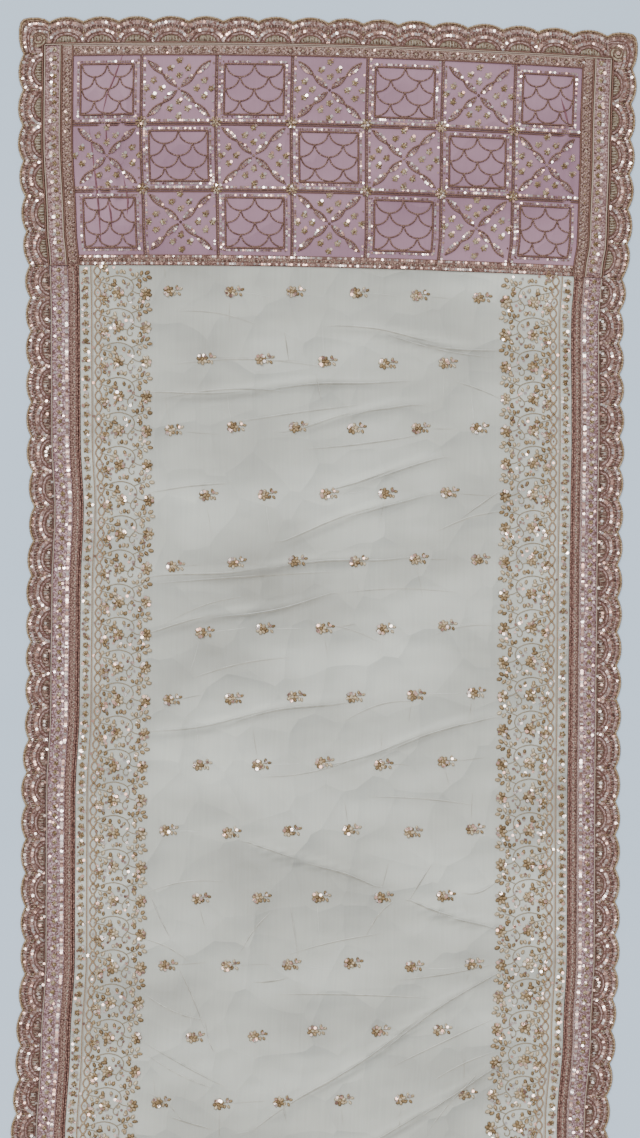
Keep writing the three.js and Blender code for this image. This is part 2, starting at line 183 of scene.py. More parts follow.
CREASES = np.array([  # from across, along, to across, along, height, foot
    (-300, 722, -60, 716, 1.6, 10), (-310, 1150, -150, 1096, 1.5, 10), (40, 1338, 180, 1300, 1.4, 9),
    (-40, 820, 190, 790, 1.3, 9), (-330, 1850, -210, 1900, 2.2, 10), (-210, 1900, -190, 1960, 1.8, 9),
    (-320, 1960, -180, 2030, 2.0, 10), (330, 1990, 220, 2130, 2.4, 11), (-310, 2035, -240, 2090, 1.8, 9),
    (-120, 1440, 60, 1410, 1.2, 9), (90, 1480, 300, 1500, 1.2, 10), (-250, 1250, -60, 1215, 1.4, 9),
    (120, 600, 320, 640, 1.2, 10), (-280, 560, -120, 590, 1.1, 10), (200, 1180, 330, 1160, 1.2, 9),
    (-60, 1780, 120, 1740, 1.5, 10), (-330, 1660, -180, 1640, 1.2, 9), (150, 1830, 330, 1800, 1.6, 10),
    (-30, 1150, 110, 1190, 1.1, 9), (-340, 900, -180, 880, 1.2, 9), (210, 980, 340, 940, 1.3, 9),
    (-325, 1653, -281, 1748, 1.4, 9), (-268, 1800, -209, 1917, 1.8, 9), (-84, 1856, 218, 1866, 1.3, 9),
    (-333, 1748, -243, 1792, 1.3, 9), (-156, 1782, -91, 1697, 1.4, 9), (-57, 1680, -40, 1792, 1.3, 9),
    (82, 1752, 142, 1680, 1.4, 9), (-325, 1938, -161, 2029, 2.0, 10), (-273, 2077, -178, 2111, 1.6, 10),
    (-57, 2042, -44, 2098, 1.4, 9), (142, 1999, 340, 1908, 1.8, 10), (218, 2033, 340, 1972, 1.6, 10),
    (-125, 1830, -57, 1822, 1.2, 9), (167, 1680, 211, 1609, 1.3, 9), (262, 1666, 340, 1636, 1.3, 9),
    (-182, 770, 74, 733, 1.2, 9), (-323, 1068, 32, 1054, 1.2, 9), (32, 1092, 255, 1096, 1.2, 9),
    (247, 688, 338, 724, 1.3, 9), (-291, 663, 23, 667, 1.0, 9), (-76, 593, -68, 655, 1.0, 9),
    (-17, 675, -6, 730, 1.0, 9), (255, 956, 338, 899, 1.2, 9)], float)
MORE_CREASES = (2200.0, 5400.0)  # the same kind of short creases on the rest of the cloth
seeded = []
along_now = MORE_CREASES[0]
while along_now < MORE_CREASES[1]:
    across_now, run = dice.uniform(-300, 200), dice.uniform(110, 240)
    seeded.append((across_now, along_now, across_now + run, along_now + dice.uniform(-60, 60),
                   dice.uniform(1.1, 2.2), dice.uniform(9, 12)))
    along_now += dice.uniform(55, 120)
CREASES = np.vstack([CREASES, seeded])
FLAT_RIM, FADE = 12, 30  # the folds die out towards the net's edges, over this many millimetres


# %% Height of the net above the floor
def bell(share):
    return 0.5 + 0.5 * np.cos(math.pi * np.clip(share, -1, 1))


def ridge_height(across, along):
    """Height of the folds and creases, in millimetres."""
    across, along = arrays(across, along)
    height = np.zeros(across.shape)
    for at, side, half, slope, high, foot in NET_FOLDS:
        crest = at + slope * np.clip(across - side, -half, half)
        near = ease(1.25 - np.abs(across - side) / half)
        height += high * near * bell((along - crest) / foot)
    for x0, y0, x1, y1, high, foot in CREASES:
        run = math.hypot(x1 - x0, y1 - y0)
        dx, dy = (x1 - x0) / run, (y1 - y0) / run
        t = ((across - x0) * dx + (along - y0) * dy) / run
        off = (along - y0) * dx - (across - x0) * dy
        height += high * bell(2 * t - 1) * bell(off / foot)
    down = (along - NET_START) / (PALLU_SEAM - NET_START)
    swell = np.interp(down, [0.06, 0.22, 0.5, 0.78, 0.94], [0, 0.8, 1, 0.8, 0])
    for at, lean, high, foot in PALLU_FOLDS:
        height += high * swell * bell((across - at - lean * down) / foot)
    return height * ease((NET_HALF - FLAT_RIM - np.abs(across)) / FADE)


def rise(across, along, above=0.0):
    return ridge_height(across, along) + ON_NET + above


def fold_wobble(across, at):
    """How far a fold's painted shade and highlight, and its crease cords, stray from a straight line."""
    return 5 * np.sin(across / 47 + at)


def crowding(across, along):
    """Painted shade up to about 0.3 on one side of each fold, and a painted highlight on the other."""
    here = np.zeros(np.shape(across))
    for at, side, half, slope, high, foot in NET_FOLDS:
        crest = at + slope * np.clip(across - side, -half, half) + fold_wobble(across, at)
        near = bell((across - side) / (1.5 * half))
        here += near * (0.22 * bell((along - crest - 6) / 11) - 0.14 * bell((along - crest + 9) / 12))
    return here


heights = ridge_height(*np.meshgrid(np.arange(-470, 470, 10.0), np.arange(60, 5480, 8.0)))
fold_count = len(NET_FOLDS) + len(PALLU_FOLDS)
print("folds", fold_count, "creases", len(CREASES), "highest", heights.max().round(1), "mm")

# %% [markdown]
# ## Sheets, cords and small pieces
# Three helpers make nearly everything. `cloth_sheet` moves a grid's points to their places on the cloth
# and writes the cloth coordinates into a UV map, so that weaves and patterns follow the cloth; a Solidify
# modifier then gives the thickness. `cords` turns many short paths into one mesh of thin tubes.
# `scatter` sets thousands of copies of one small bead or sequin with Geometry Nodes and makes them real.


# %% Helper: put a finished piece into the frame
def finish_piece(piece, slot, *nodes):
    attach(piece, "root")
    if nodes:
        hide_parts(*nodes)
    return piece


def link(name, data):
    piece = bpy.data.objects.new(name, data)
    bpy.context.scene.collection.objects.link(piece)
    return piece


def real_mesh(piece, name):
    """The mesh that a piece's modifiers or nodes give, as a new plain object; the old object goes."""
    evaluated = piece.evaluated_get(bpy.context.evaluated_depsgraph_get())
    mesh = bpy.data.meshes.new_from_object(evaluated)
    bpy.data.objects.remove(piece)
    mesh.name = name
    return link(name, mesh)


LOWEST = 0.0001  # metres above the floor


def keep_above_floor(piece):
    """Presses whatever would dip into the floor flat on it."""
    spots = np.empty(len(piece.data.vertices) * 3, "f")
    piece.data.vertices.foreach_get("co", spots)
    spots[2::3] = np.maximum(spots[2::3], LOWEST)
    piece.data.vertices.foreach_set("co", spots)
    piece.data.update()
    return piece


# %% Helper: a thin sheet of cloth
def cloth_sheet(name, columns, rows, place, material, thickness=CLOTH, pattern=None, from_edge=None):
    """place(u, v) gives across, along and top height, pattern(u, v) the UVs if they aren't plain, and
    from_edge(u, v) the distance in from a lace's outline, in millimetres."""
    shape = bmesh.new()
    bmesh.ops.create_grid(shape, x_segments=columns, y_segments=rows, size=0.5)
    mesh = bpy.data.meshes.new(name)
    shape.to_mesh(mesh)
    shape.free()
    flat = np.empty(len(mesh.vertices) * 3)
    mesh.vertices.foreach_get("co", flat)
    u, v = flat[0::3] + 0.5, 0.5 - flat[1::3]
    across, along, top = place(u, v)
    mesh.vertices.foreach_set("co", lay(across, along, top).ravel())
    uv = np.stack([across / 1000, along / 1000] if pattern is None else pattern(u, v), -1)
    corners = np.empty(len(mesh.loops), dtype=np.int32)
    mesh.loops.foreach_get("vertex_index", corners)
    mesh.uv_layers.new(name="cloth").data.foreach_set("uv", uv[corners].ravel())
    # Plain net sheets carry the painted shade and highlight beside the folds.
    label, values = ("from_edge", from_edge(u, v)) if from_edge else ("crowding", crowding(across, along))
    mesh.attributes.new(label, "FLOAT", "POINT").data.foreach_set("value", values)
    mesh.polygons.foreach_set("use_smooth", np.ones(len(mesh.polygons), bool))
    mesh.update()
    piece = link(name, mesh)
    mesh.materials.append(material)
    wall = piece.modifiers.new("thickness", "SOLIDIFY")
    wall.thickness = thickness / 1000
    wall.offset = -1
    print(name, len(mesh.polygons), "faces")
    return piece


# %% Helper: many thin cords
def rounded(points):
    """The same line with its corners cut once, ends kept."""
    points = np.asarray(points, float)
    near = 0.75 * points[:-1] + 0.25 * points[1:]
    far = 0.25 * points[:-1] + 0.75 * points[1:]
    cut = np.stack([near, far], 1).reshape(-1, points.shape[1])
    return np.vstack([points[:1], cut[1:-1], points[-1:]])


def cords(name, paths, materials, slot):
    """paths is a list of (points in metres, radius in millimetres or one per point, material number)."""
    curve = bpy.data.curves.new(name, "CURVE")
    curve.dimensions = "3D"
    curve.bevel_depth = 0.001
    curve.bevel_resolution = 0
    curve.use_fill_caps = True
    for material in materials:
        curve.materials.append(material)
    for points, radius, number in paths:
        spline = curve.splines.new("POLY")
        spline.points.add(len(points) - 1)
        spline.points.foreach_set("co", np.c_[points, np.ones(len(points))].ravel())
        spline.points.foreach_set("radius", np.broadcast_to(radius, len(points)).astype(float))
        spline.material_index = number
        spline.use_smooth = True
    piece = real_mesh(link(name + "_curve", curve), name)
    print(name, len(paths), "cords,", len(piece.data.polygons), "faces")
    return finish_piece(keep_above_floor(piece), slot)


# %% Helper: nodes of every kind
def node(tree, kind, inputs=(), **settings):
    """A new node with its settings. inputs gives a value, or a socket to link, for each named input."""
    made = tree.nodes.new(kind)
    for label, value in settings.items():
        setattr(made, label, value)
    for label, value in dict(inputs).items():
        if isinstance(value, bpy.types.NodeSocket):
            tree.links.new(value, made.inputs[label])
        else:
            made.inputs[label].default_value = value
    return made


def new_group(name, kind, inputs, outputs):
    """A node group, its input node and its output node. inputs and outputs name their sockets' types."""
    group = bpy.data.node_groups.new(name, kind)
    for label, socket in inputs:
        group.interface.new_socket(label, in_out="INPUT", socket_type="NodeSocket" + socket)
    for label, socket in outputs:
        group.interface.new_socket(label, in_out="OUTPUT", socket_type="NodeSocket" + socket)
    return group, group.nodes.new("NodeGroupInput"), group.nodes.new("NodeGroupOutput")


# %% Helper: copies of one small shape
def scatter(name, shape, rows, slot):
    """rows: x, y, z in metres, three turns in radians, three sizes in metres and a shade from 0 to 1."""
    rows = np.asarray(rows, float)
    points = bpy.data.meshes.new(name + "_points")
    points.vertices.add(len(rows))
    points.vertices.foreach_set("co", rows[:, 0:3].ravel())
    ends = [("Geometry", "Geometry")]
    group, start, end = new_group(name, "GeometryNodeTree", ends, ends)
    named = {}
    columns = (("turn", "FLOAT_VECTOR", "vector", 3, 6), ("size", "FLOAT_VECTOR", "vector", 6, 9),
               ("shade", "FLOAT", "value", 9, 10))
    for label, kind, field, first, last in columns:
        points.attributes.new(label, kind, "POINT").data.foreach_set(field, rows[:, first:last].ravel())
        reader = node(group, "GeometryNodeInputNamedAttribute", {"Name": label}, data_type=kind)
        named[label] = reader.outputs["Attribute"]
    chosen = node(group, "GeometryNodeObjectInfo", {"Object": shape}).outputs["Geometry"]
    turned = node(group, "FunctionNodeEulerToRotation", {0: named["turn"]}).outputs[0]
    copies = node(group, "GeometryNodeInstanceOnPoints", {
        "Points": start.outputs[0], "Instance": chosen, "Rotation": turned, "Scale": named["size"]})
    real = node(group, "GeometryNodeRealizeInstances", {0: copies.outputs[0]})
    group.links.new(real.outputs[0], end.inputs[0])
    holder = link(name + "_holder", points)
    holder.modifiers.new("copies", "NODES").node_group = group
    piece = real_mesh(holder, name)
    print(name, len(rows), "pieces,", len(piece.data.polygons), "faces")
    return finish_piece(keep_above_floor(piece), slot)


# %% [markdown]
# ## Effects that materials share
# Two node groups hold what several finishes need. `net weave` gives the pattern of the net's holes and
# its streaks from the cloth's UV map. `scallop rings` turns the lace's UV map into a distance from the
# foot of each scallop, so that the lace's corded rings can be drawn as bands of that distance.

# %% Measures of the lace's UV map
UV_DEPTH = 100.0  # millimetres of depth to one unit
FLATTEN = 0.78  # the rings are circles flattened towards the foot by this much
RING_WIDTH = 49.6  # a scallop's pitch after flattening


# %% Colour and maths nodes
def srgb(red, green, blue):
    """A colour given as 0 to 255 in sRGB, as the linear colour a shader needs."""
    shares = [c / 255 for c in (red, green, blue)]
    return tuple(c / 12.92 if c <= 0.04 else ((c + 0.055) / 1.055) ** 2.4 for c in shares) + (1,)


def maths(tree, operation, *values):
    return node(tree, "ShaderNodeMath", dict(enumerate(values)), operation=operation).outputs[0]


# %% Shader group: net weave
weave, weave_in, weave_out = new_group(
    "net weave", "ShaderNodeTree", [("Pitch", "Float")], [("Holes", "Float"), ("Streaks", "Float")])
weave_uv = node(weave, "ShaderNodeUVMap", uv_map="cloth").outputs[0]
weave_parts = node(weave, "ShaderNodeSeparateXYZ", {0: weave_uv}).outputs
waves = []
for axis in (0, 1):
    turns = maths(weave, "DIVIDE", weave_parts[axis], weave_in.outputs["Pitch"])
    waves.append(maths(weave, "SINE", maths(weave, "MULTIPLY", turns, 2 * math.pi)))
holes = maths(weave, "MULTIPLY_ADD", maths(weave, "MULTIPLY", *waves), 0.5, 0.5)
weave.links.new(holes, weave_out.inputs["Holes"])
stretched = node(weave, "ShaderNodeMapping", {"Vector": weave_uv, "Scale": (260.0, 9.0, 1.0)}).outputs[0]
streaks = node(weave, "ShaderNodeTexNoise", {"Vector": stretched, "Scale": 1.0, "Detail": 2.0})
weave.links.new(streaks.outputs["Fac"], weave_out.inputs["Streaks"])

# %% Shader group: scallop rings
rings, _, rings_out = new_group(
    "scallop rings", "ShaderNodeTree", [], [("Distance", "Float"), ("Ladder", "Float")])
rings_uv = node(rings, "ShaderNodeUVMap", uv_map="cloth").outputs[0]
rings_parts = node(rings, "ShaderNodeSeparateXYZ", {0: rings_uv}).outputs
in_scallop = maths(rings, "SUBTRACT", maths(rings, "FRACT", rings_parts[0]), 0.5)
aside = maths(rings, "MULTIPLY", in_scallop, RING_WIDTH)
above = maths(rings, "SUBTRACT", LACE, maths(rings, "MULTIPLY", rings_parts[1], UV_DEPTH))
square = maths(rings, "ADD", maths(rings, "MULTIPLY", aside, aside), maths(rings, "MULTIPLY", above, above))
rings.links.new(maths(rings, "SQRT", square), rings_out.inputs["Distance"])
angle = maths(rings, "ARCTAN2", above, aside)
ladder = maths(rings, "SINE", maths(rings, "MULTIPLY", angle, 60.0))
rings.links.new(maths(rings, "MULTIPLY_ADD", ladder, 0.5, 0.5), rings_out.inputs["Ladder"])
print("shader groups", weave.name, rings.name)

# %% [markdown]
# ## Finishes
# The net is thin and half clear, so the floor shows through it: its Alpha is lowered a little more in
# the holes of the weave. Metal thread is a rough metal whose shade changes from stitch to stitch, from
# a `shade` value that every bead carries. Sequins are smooth and nearly clear plastic with a metal
# back, so each is a mirror that flashes when its tilt throws a lamp's light up.


# %% Helper: a new material and its shader
def new_material(name, roughness, metallic=0.0):
    material = bpy.data.materials.new(name)
    material.use_nodes = True
    shader = material.node_tree.nodes["Principled BSDF"]
    shader.inputs["Roughness"].default_value = roughness
    shader.inputs["Metallic"].default_value = metallic
    return material, material.node_tree, shader


def colour_ramp(tree, factor, stops):
    """stops is a list of places from 0 to 1, each with its colour."""
    ramp = node(tree, "ShaderNodeValToRGB", {0: factor})
    while len(ramp.color_ramp.elements) < len(stops):
        ramp.color_ramp.elements.new(0.5)
    for element, (place, colour) in zip(ramp.color_ramp.elements, stops):
        element.position = place
        element.color = srgb(*colour)
    return ramp.outputs[0]


def bump(tree, shader, height, strength, distance):
    relief = node(tree, "ShaderNodeBump", {"Strength": strength, "Distance": distance, "Height": height})
    tree.links.new(relief.outputs[0], shader.inputs["Normal"])


def attribute(tree, name):
    return node(tree, "ShaderNodeAttribute", attribute_name=name).outputs["Fac"]


def noise(tree, scale, detail=2.0, stretch=(1.0, 1.0, 1.0)):
    spot = node(tree, "ShaderNodeTexCoord").outputs["Object"]
    stretched = node(tree, "ShaderNodeMapping", {"Vector": spot, "Scale": stretch}).outputs[0]
    texture = node(tree, "ShaderNodeTexNoise", {"Vector": stretched, "Scale": scale, "Detail": detail})
    return texture.outputs["Fac"]


def crumple(tree, scale):
    """Facets that meet in sharp creases, as in net that was folded small: the borders of wobbly cells."""
    spot = node(tree, "ShaderNodeTexCoord").outputs["Object"]
    wobble = node(tree, "ShaderNodeTexNoise", {"Vector": spot, "Scale": 7.0, "Detail": 0.0}).outputs["Color"]
    shifted = node(tree, "ShaderNodeVectorMath", {0: wobble, 1: (0.07, 0.07, 0.0), 2: spot},
                   operation="MULTIPLY_ADD")
    cells = node(tree, "ShaderNodeTexVoronoi", {"Vector": shifted.outputs[0], "Scale": scale})
    return maths(tree, "POWER", cells.outputs["Distance"], 2.0)


# %% Net finishes: ecru and mauve
def net_material(name, dark, light, cover, pitch, relief=0.8):
    """cover is how much of the floor the net hides, and pitch the distance between its holes in metres."""
    material, tree, shader = new_material(name, 0.6)
    shader.inputs["Sheen Weight"].default_value = 0.3
    pattern = node(tree, "ShaderNodeGroup", {"Pitch": pitch}, node_tree=weave).outputs
    streaky = maths(tree, "MULTIPLY_ADD", pattern["Streaks"], 0.1, -0.05)
    cloudy = maths(tree, "MULTIPLY_ADD", noise(tree, 3.4, 3.0, (0.8, 1.5, 1.0)), 1.15, streaky)
    # The painted shade and highlight beside the folds darken and lighten the net's colour.
    shade = maths(tree, "SUBTRACT", cloudy, attribute(tree, "crowding"))
    tree.links.new(colour_ramp(tree, shade, [(0.2, dark), (0.85, light)]), shader.inputs["Base Color"])
    alpha = maths(tree, "MULTIPLY_ADD", pattern["Holes"], -0.03, cover)
    alpha = maths(tree, "MULTIPLY_ADD", pattern["Streaks"], 0.04, alpha)
    tree.links.new(alpha, shader.inputs["Alpha"])
    billows = maths(tree, "MULTIPLY", noise(tree, 7.0, 2.0, (0.7, 1.4, 1.0)), 0.7)
    height = maths(tree, "ADD", billows, maths(tree, "MULTIPLY", crumple(tree, 13.0), 0.68))
    bump(tree, shader, height, relief, 0.03)
    return material


ecru_net = net_material("ecru net", (173, 169, 154), (243, 243, 228), 0.53, 0.0014)
mauve_net = net_material("mauve net", (142, 102, 121), (185, 145, 160), 0.72, 0.0012, 0.5)


# %% Lace finish
def lace_finish(name, moon):
    """Corded lace whose half moons have a colour of their own."""
    material, tree, shader = new_material(name, 0.5, 0.2)
    pattern = node(tree, "ShaderNodeGroup", node_tree=rings).outputs
    distance = maths(tree, "DIVIDE", pattern["Distance"], 52.0)
    dark, copper, mauve = (102, 70, 62), (158, 122, 106), (196, 166, 160)
    ring_colour = colour_ramp(tree, distance, [
        (0.0, moon), (0.29, moon), (0.31, dark), (0.34, mauve), (0.385, mauve), (0.40, dark),
        (0.44, mauve), (0.53, mauve), (0.56, copper), (0.66, dark), (0.70, mauve), (0.85, mauve),
        (0.9, copper), (1.0, copper)])
    edge = attribute(tree, "from_edge")
    at_edge = node(tree, "ShaderNodeMapRange", {
        "Value": edge, "From Min": 7.0, "From Max": 8.5, "To Min": 1.0, "To Max": 0.0})
    bound = node(tree, "ShaderNodeMix", {
        "Factor": at_edge.outputs[0], "A": ring_colour, "B": srgb(172, 146, 118)}, data_type="RGBA")
    speckle = maths(tree, "MULTIPLY_ADD", noise(tree, 270.0, 1.0), 3.0, -1.1)
    stripes = node(tree, "ShaderNodeMix", {
        "Factor": maths(tree, "MULTIPLY_ADD", pattern["Ladder"], 0.35, speckle),
        "A": bound.outputs["Result"], "B": srgb(140, 104, 92)}, data_type="RGBA", blend_type="MULTIPLY")
    tree.links.new(stripes.outputs["Result"], shader.inputs["Base Color"])
    stitches = maths(tree, "ADD", maths(tree, "MULTIPLY", pattern["Ladder"], 0.6), noise(tree, 700.0))
    bump(tree, shader, stitches, 0.8, 0.0012)
    return material


body_lace = lace_finish("corded lace", (170, 142, 128))
pallu_lace = lace_finish("corded lace with cream moons", (184, 170, 144))


# %% Braid, thread and hem finishes
def grain_material(name, places, colours, roughness, metallic, scale, by_piece=0.0, relief=0.7):
    """by_piece is how much of the shade comes from each bead's own value; the rest is fine grain. Beads
    have a UV map of their own length and width, which carries their satin stitches."""
    material, tree, shader = new_material(name, roughness, metallic)
    grain = noise(tree, scale)
    own = maths(tree, "MULTIPLY", attribute(tree, "shade"), by_piece)
    mixed = maths(tree, "ADD", own, maths(tree, "MULTIPLY", grain, 1 - by_piece))
    if relief:
        own_uv = node(tree, "ShaderNodeUVMap", uv_map="stitch").outputs[0]
        parts = node(tree, "ShaderNodeSeparateXYZ", {0: own_uv}).outputs
        rows = maths(tree, "MULTIPLY_ADD", parts[0], 26.0, maths(tree, "MULTIPLY", parts[1], 5.0))
        satin = maths(tree, "SINE", rows)
        mixed = maths(tree, "MULTIPLY_ADD", satin, 0.06, mixed)
        bump(tree, shader, maths(tree, "MULTIPLY_ADD", satin, 0.5, grain), relief, 0.0006)
    stops = list(zip(places, colours))
    tree.links.new(colour_ramp(tree, mixed, stops), shader.inputs["Base Color"])
    return material


COARSE, FINE = (0.36, 0.5, 0.66), (0.3, 0.7)  # where the shades stand on the grain's scale
rose_band = grain_material(
    "rose band net", COARSE, [(100, 66, 68), (140, 106, 110), (204, 176, 178)], 0.55, 0.1, 330.0)
blush_band = grain_material(
    "blush band net", COARSE, [(102, 70, 68), (140, 107, 106), (198, 166, 162)], 0.55, 0.1, 330.0)
braid_material = grain_material(
    "copper braid", COARSE, [(70, 42, 36), (112, 78, 68), (176, 144, 130)], 0.45, 0.3, 400.0)
pale_braid = grain_material(
    "pale braid", COARSE, [(88, 60, 52), (138, 106, 97), (202, 174, 160)], 0.5, 0.2, 430.0)
dark_cord = grain_material(
    "dark braid cord", COARSE, [(66, 38, 32), (112, 74, 64), (176, 140, 126)], 0.45, 0.3, 330.0)
hem_material = grain_material("turned hem", (0.4, 0.6), [(200, 193, 172), (218, 212, 192)], 0.8, 0.0, 300.0)
copper_thread = grain_material(
    "copper thread", (0.25, 0.75), [(108, 76, 64), (206, 170, 152)], 0.38, 0.45, 900.0, 0.5)
gold_thread = grain_material(
    "gold thread", (0.08, 0.42, 0.85), [(112, 88, 62), (186, 156, 114), (250, 232, 200)],
    0.34, 0.5, 900.0, 0.6)
stem_thread = grain_material("stem thread", FINE, [(128, 110, 84), (172, 154, 126)], 0.5, 0.3, 900.0)
olive_cord = grain_material("olive edge cord", FINE, [(140, 112, 84), (188, 158, 128)], 0.5, 0.3, 600.0)
cream_thread = grain_material(
    "cream thread", (0.2, 0.8), [(176, 156, 138), (224, 208, 190)], 0.4, 0.2, 700.0, 0.6)
# Darker crease cords: net crowded at a fold, and painted shade on the fold's shadow side.
crease_dense_and_shaded = grain_material("creased net", FINE, [(150, 144, 128), (186, 180, 164)], 0.7, 0.0, 60.0)
# A pale cord beside each crease, a painted highlight.
painted_crease_highlight = grain_material(
    "bright side of a crease", FINE, [(206, 206, 198), (236, 238, 232)], 0.6, 0.0, 60.0)
# Dark maroon crease cords for the mauve net: denser net at a fold, and painted shade.
mauve_crease_dense_and_shaded = grain_material(
    "creased mauve net", FINE, [(104, 60, 68), (132, 84, 92)], 0.6, 0.0, 60.0)
sequin_material = grain_material(
    "clear sequin", (0.0, 0.5, 1.0), [(150, 112, 98), (192, 158, 146), (250, 240, 234)],
    0.15, 0.9, 300.0, 0.9, 0)
print("finishes", len(bpy.data.materials))

# %% [markdown]
# ## Small shapes
# A sequin is a flat disc, so its whole face flashes at once. A knot of metal thread is a low dome. Each
# is repeated thousands of times, so it has a dozen faces: its rim, and a tip below.


# %% Make the small shapes
def small_shape(name, material, domed=True, sides=5):
    """A disc or a low dome of radius 1, closed below by a point."""
    shape = bmesh.new()
    rim = bmesh.ops.create_circle(shape, segments=sides, radius=1.0, cap_ends=True)["verts"]
    for point in rim:
        point.co.z = 0.35
    if domed:
        bmesh.ops.poke(shape, faces=shape.faces[:])
        crown = [v for v in shape.verts if v not in rim][0]
        crown.co.z = 1.0
    loop = [e for e in shape.edges if e.is_boundary]
    under = bmesh.ops.extrude_edge_only(shape, edges=loop)["geom"]
    for point in [v for v in under if isinstance(v, bmesh.types.BMVert)]:
        point.co = (point.co.x * 0.01, point.co.y * 0.01, -0.2 if domed else 0.0)
    bmesh.ops.remove_doubles(shape, verts=shape.verts, dist=0.05)
    bmesh.ops.recalc_face_normals(shape, faces=shape.faces)
    mesh = bpy.data.meshes.new(name)
    shape.to_mesh(mesh)
    shape.free()
    mesh.polygons.foreach_set("use_smooth", np.full(len(mesh.polygons), domed))
    corners = [mesh.vertices[loop.vertex_index].co for loop in mesh.loops]
    stitch_uv = np.array([(v.x, v.y) for v in corners], "f")
    mesh.uv_layers.new(name="stitch").data.foreach_set("uv", stitch_uv.ravel())
    mesh.materials.append(material)
    return bpy.data.objects.new(name, mesh)


shapes = {"sequin": small_shape("sequin_shape", sequin_material, False, 6),
          "petal": small_shape("petal_shape", gold_thread, sides=6)}
for kind, material in (("gold", gold_thread), ("copper", copper_thread), ("cream", cream_thread)):
    shapes[kind] = small_shape(f"{kind}_knot_shape", material)
print({name: len(shape.data.polygons) for name, shape in shapes.items()})

# %% [markdown]
# ## Trays
# An embroiderer works from trays of beads. Here each tray is a list of where its beads go, in cloth
# coordinates, and one call at the end sets a whole tray. Along the sides a pattern is written once, as
# the distance in from the scallop tips and the distance along, and mirrored for the right edge.

# %% Trays of beads and cords
trays = {}
thread_paths = {}
# Among these are the crease cords: darker ones that are partly denser net and partly painted shade, and a
# pale one that is a painted highlight.
THREADS = [copper_thread, gold_thread, stem_thread, olive_cord, cream_thread, crease_dense_and_shaded, mauve_crease_dense_and_shaded,
           dark_cord, painted_crease_highlight]
COPPER, GOLD, STEM, OLIVE, CREAM, CREASE_DENSE_AND_SHADED, MAROON, DARK, CREASE_HIGHLIGHT = range(len(THREADS))
SPARSE_FROM = 2400.0  # beyond this half of the loose beads and sequins are left out
ROUND = 6.3  # just over a full turn, in radians
QUARTER_TURN = 1.57


def bead(zone, kind, across, along, length, width=None, thick=1.2, turn=0.0, tilt=0.1, lift=0.0):
    width = length if width is None else width
    if along > SPARSE_FROM and kind in ("sequin", "copper", "cream") and dice.random() < 0.5:
        return
    trays.setdefault((zone, kind), []).append((
        float(across), float(along), lift, turn, dice.normal(0, tilt), dice.normal(0, tilt),
        length / 2, width / 2, thick, dice.random()))


def sequin(zone, across, along, size=4.6, tilt=0.3, lift=0.6):
    wide = size * dice.uniform(0.9, 1.1)
    bead(zone, "sequin", across, along, wide, thick=0.8, turn=dice.uniform(0, ROUND), tilt=tilt, lift=lift)


def stitch(zone, kind, start, stop, width, lift=0.4, thick=1.1):
    """One long bead from start to stop, both (across, along)."""
    dx, dy = stop[0] - start[0], stop[1] - start[1]
    bead(zone, kind, start[0] + dx / 2, start[1] + dy / 2, math.hypot(dx, dy), width, thick,
         math.atan2(-dy, dx), 0.08, lift)


def thread(zone, across, along, radius, number, lift=0.3):
    across, along = arrays(across, along)
    thread_paths.setdefault(zone, []).append((lay(across, along, rise(across, along, lift)), radius, number))


def spaced(across, along, step):
    """Points a step apart on a line, each with the line's direction there as an angle on the floor."""
    across, along = arrays(across, along)
    reach = np.concatenate([[0], np.cumsum(np.hypot(np.diff(across), np.diff(along)))])
    count = max(1, int(round(reach[-1] / step)))
    at = (np.arange(count) + 0.5) / count * reach[-1]
    i = np.clip(np.searchsorted(reach, at) - 1, 0, len(reach) - 2)
    turn = -np.arctan2(np.diff(along)[i], np.diff(across)[i])
    return zip(np.interp(at, reach, across), np.interp(at, reach, along), turn)


def sequin_line(zone, across, along, step=4.2, size=4.8, lift=0.6, chance=0.94, tilt=0.22):
    for x, y, turn in spaced(across, along, step):
        if dice.random() < chance:
            sequin(zone, x, y, size, tilt, lift)


def bead_line(zone, kind, across, along, step, length, width, lift=0.4, crosswise=False):
    for x, y, turn in spaced(across, along, step):
        bead(zone, kind, x, y, length, width, 1.1, turn + (math.pi / 2 if crosswise else 0.0), 0.1, lift)


def beside(across, along, reach, angle, tall=1.0):
    """A point at a reach and an angle from another, anticlockwise as seen from above."""
    return across + reach * math.cos(angle), along - reach * tall * math.sin(angle)


def ring(zone, kind, across, along, count, reach, length, width, thick, first=0.0, lean=0.0, hand=1,
         tilt=0.12, lift=1.6, tall=1.0):
    """Beads round a centre, each turned outwards and by lean more. A hand of -1 goes clockwise."""
    for k in range(count):
        angle = first + hand * 2 * math.pi * k / count
        place = beside(across, along, reach, angle, tall)
        bead(zone, kind, *place, length, width, thick, angle + lean, tilt, lift)


class Edge:
    """One long edge: its patterns are given as inset from the scallop tips and run along the cloth."""

    def __init__(self, zone, side):
        self.zone, self.side = zone, side

    def across(self, inset):
        return self.side * (HALF - np.asarray(inset, float))

    def body(self, inset):
        """As across, and up to 3 mm further in on the left, where the body's border lies wider."""
        inset = np.asarray(inset, float)
        return self.across(inset + (np.interp(inset, [44, 60, 104], [0, 2.4, 3.2]) if self.side < 0 else 0))

    def turned(self, angle):
        return angle if self.side < 0 else math.pi - angle


EDGES = [Edge("left", -1), Edge("right", 1)]

# %% [markdown]
# ## The cloth itself
# The ecru net is one sheet from the pallu's seam to the hem, with the mauve net sewn to its end. Dot
# bands of rose net run inside the lace, and braids cover the seams. Every sheet is a grid of its own,
# and the size it is cut to is kept.

# %% Ecru net, mauve net
cuts = {}  # piece name: piece, width and length as cut in metres, share of that rectangle that is cloth


def keep_cut(piece, width, length, share=1.0):
    cuts[piece.name] = (piece, width / 1000, length / 1000, share)
    return piece


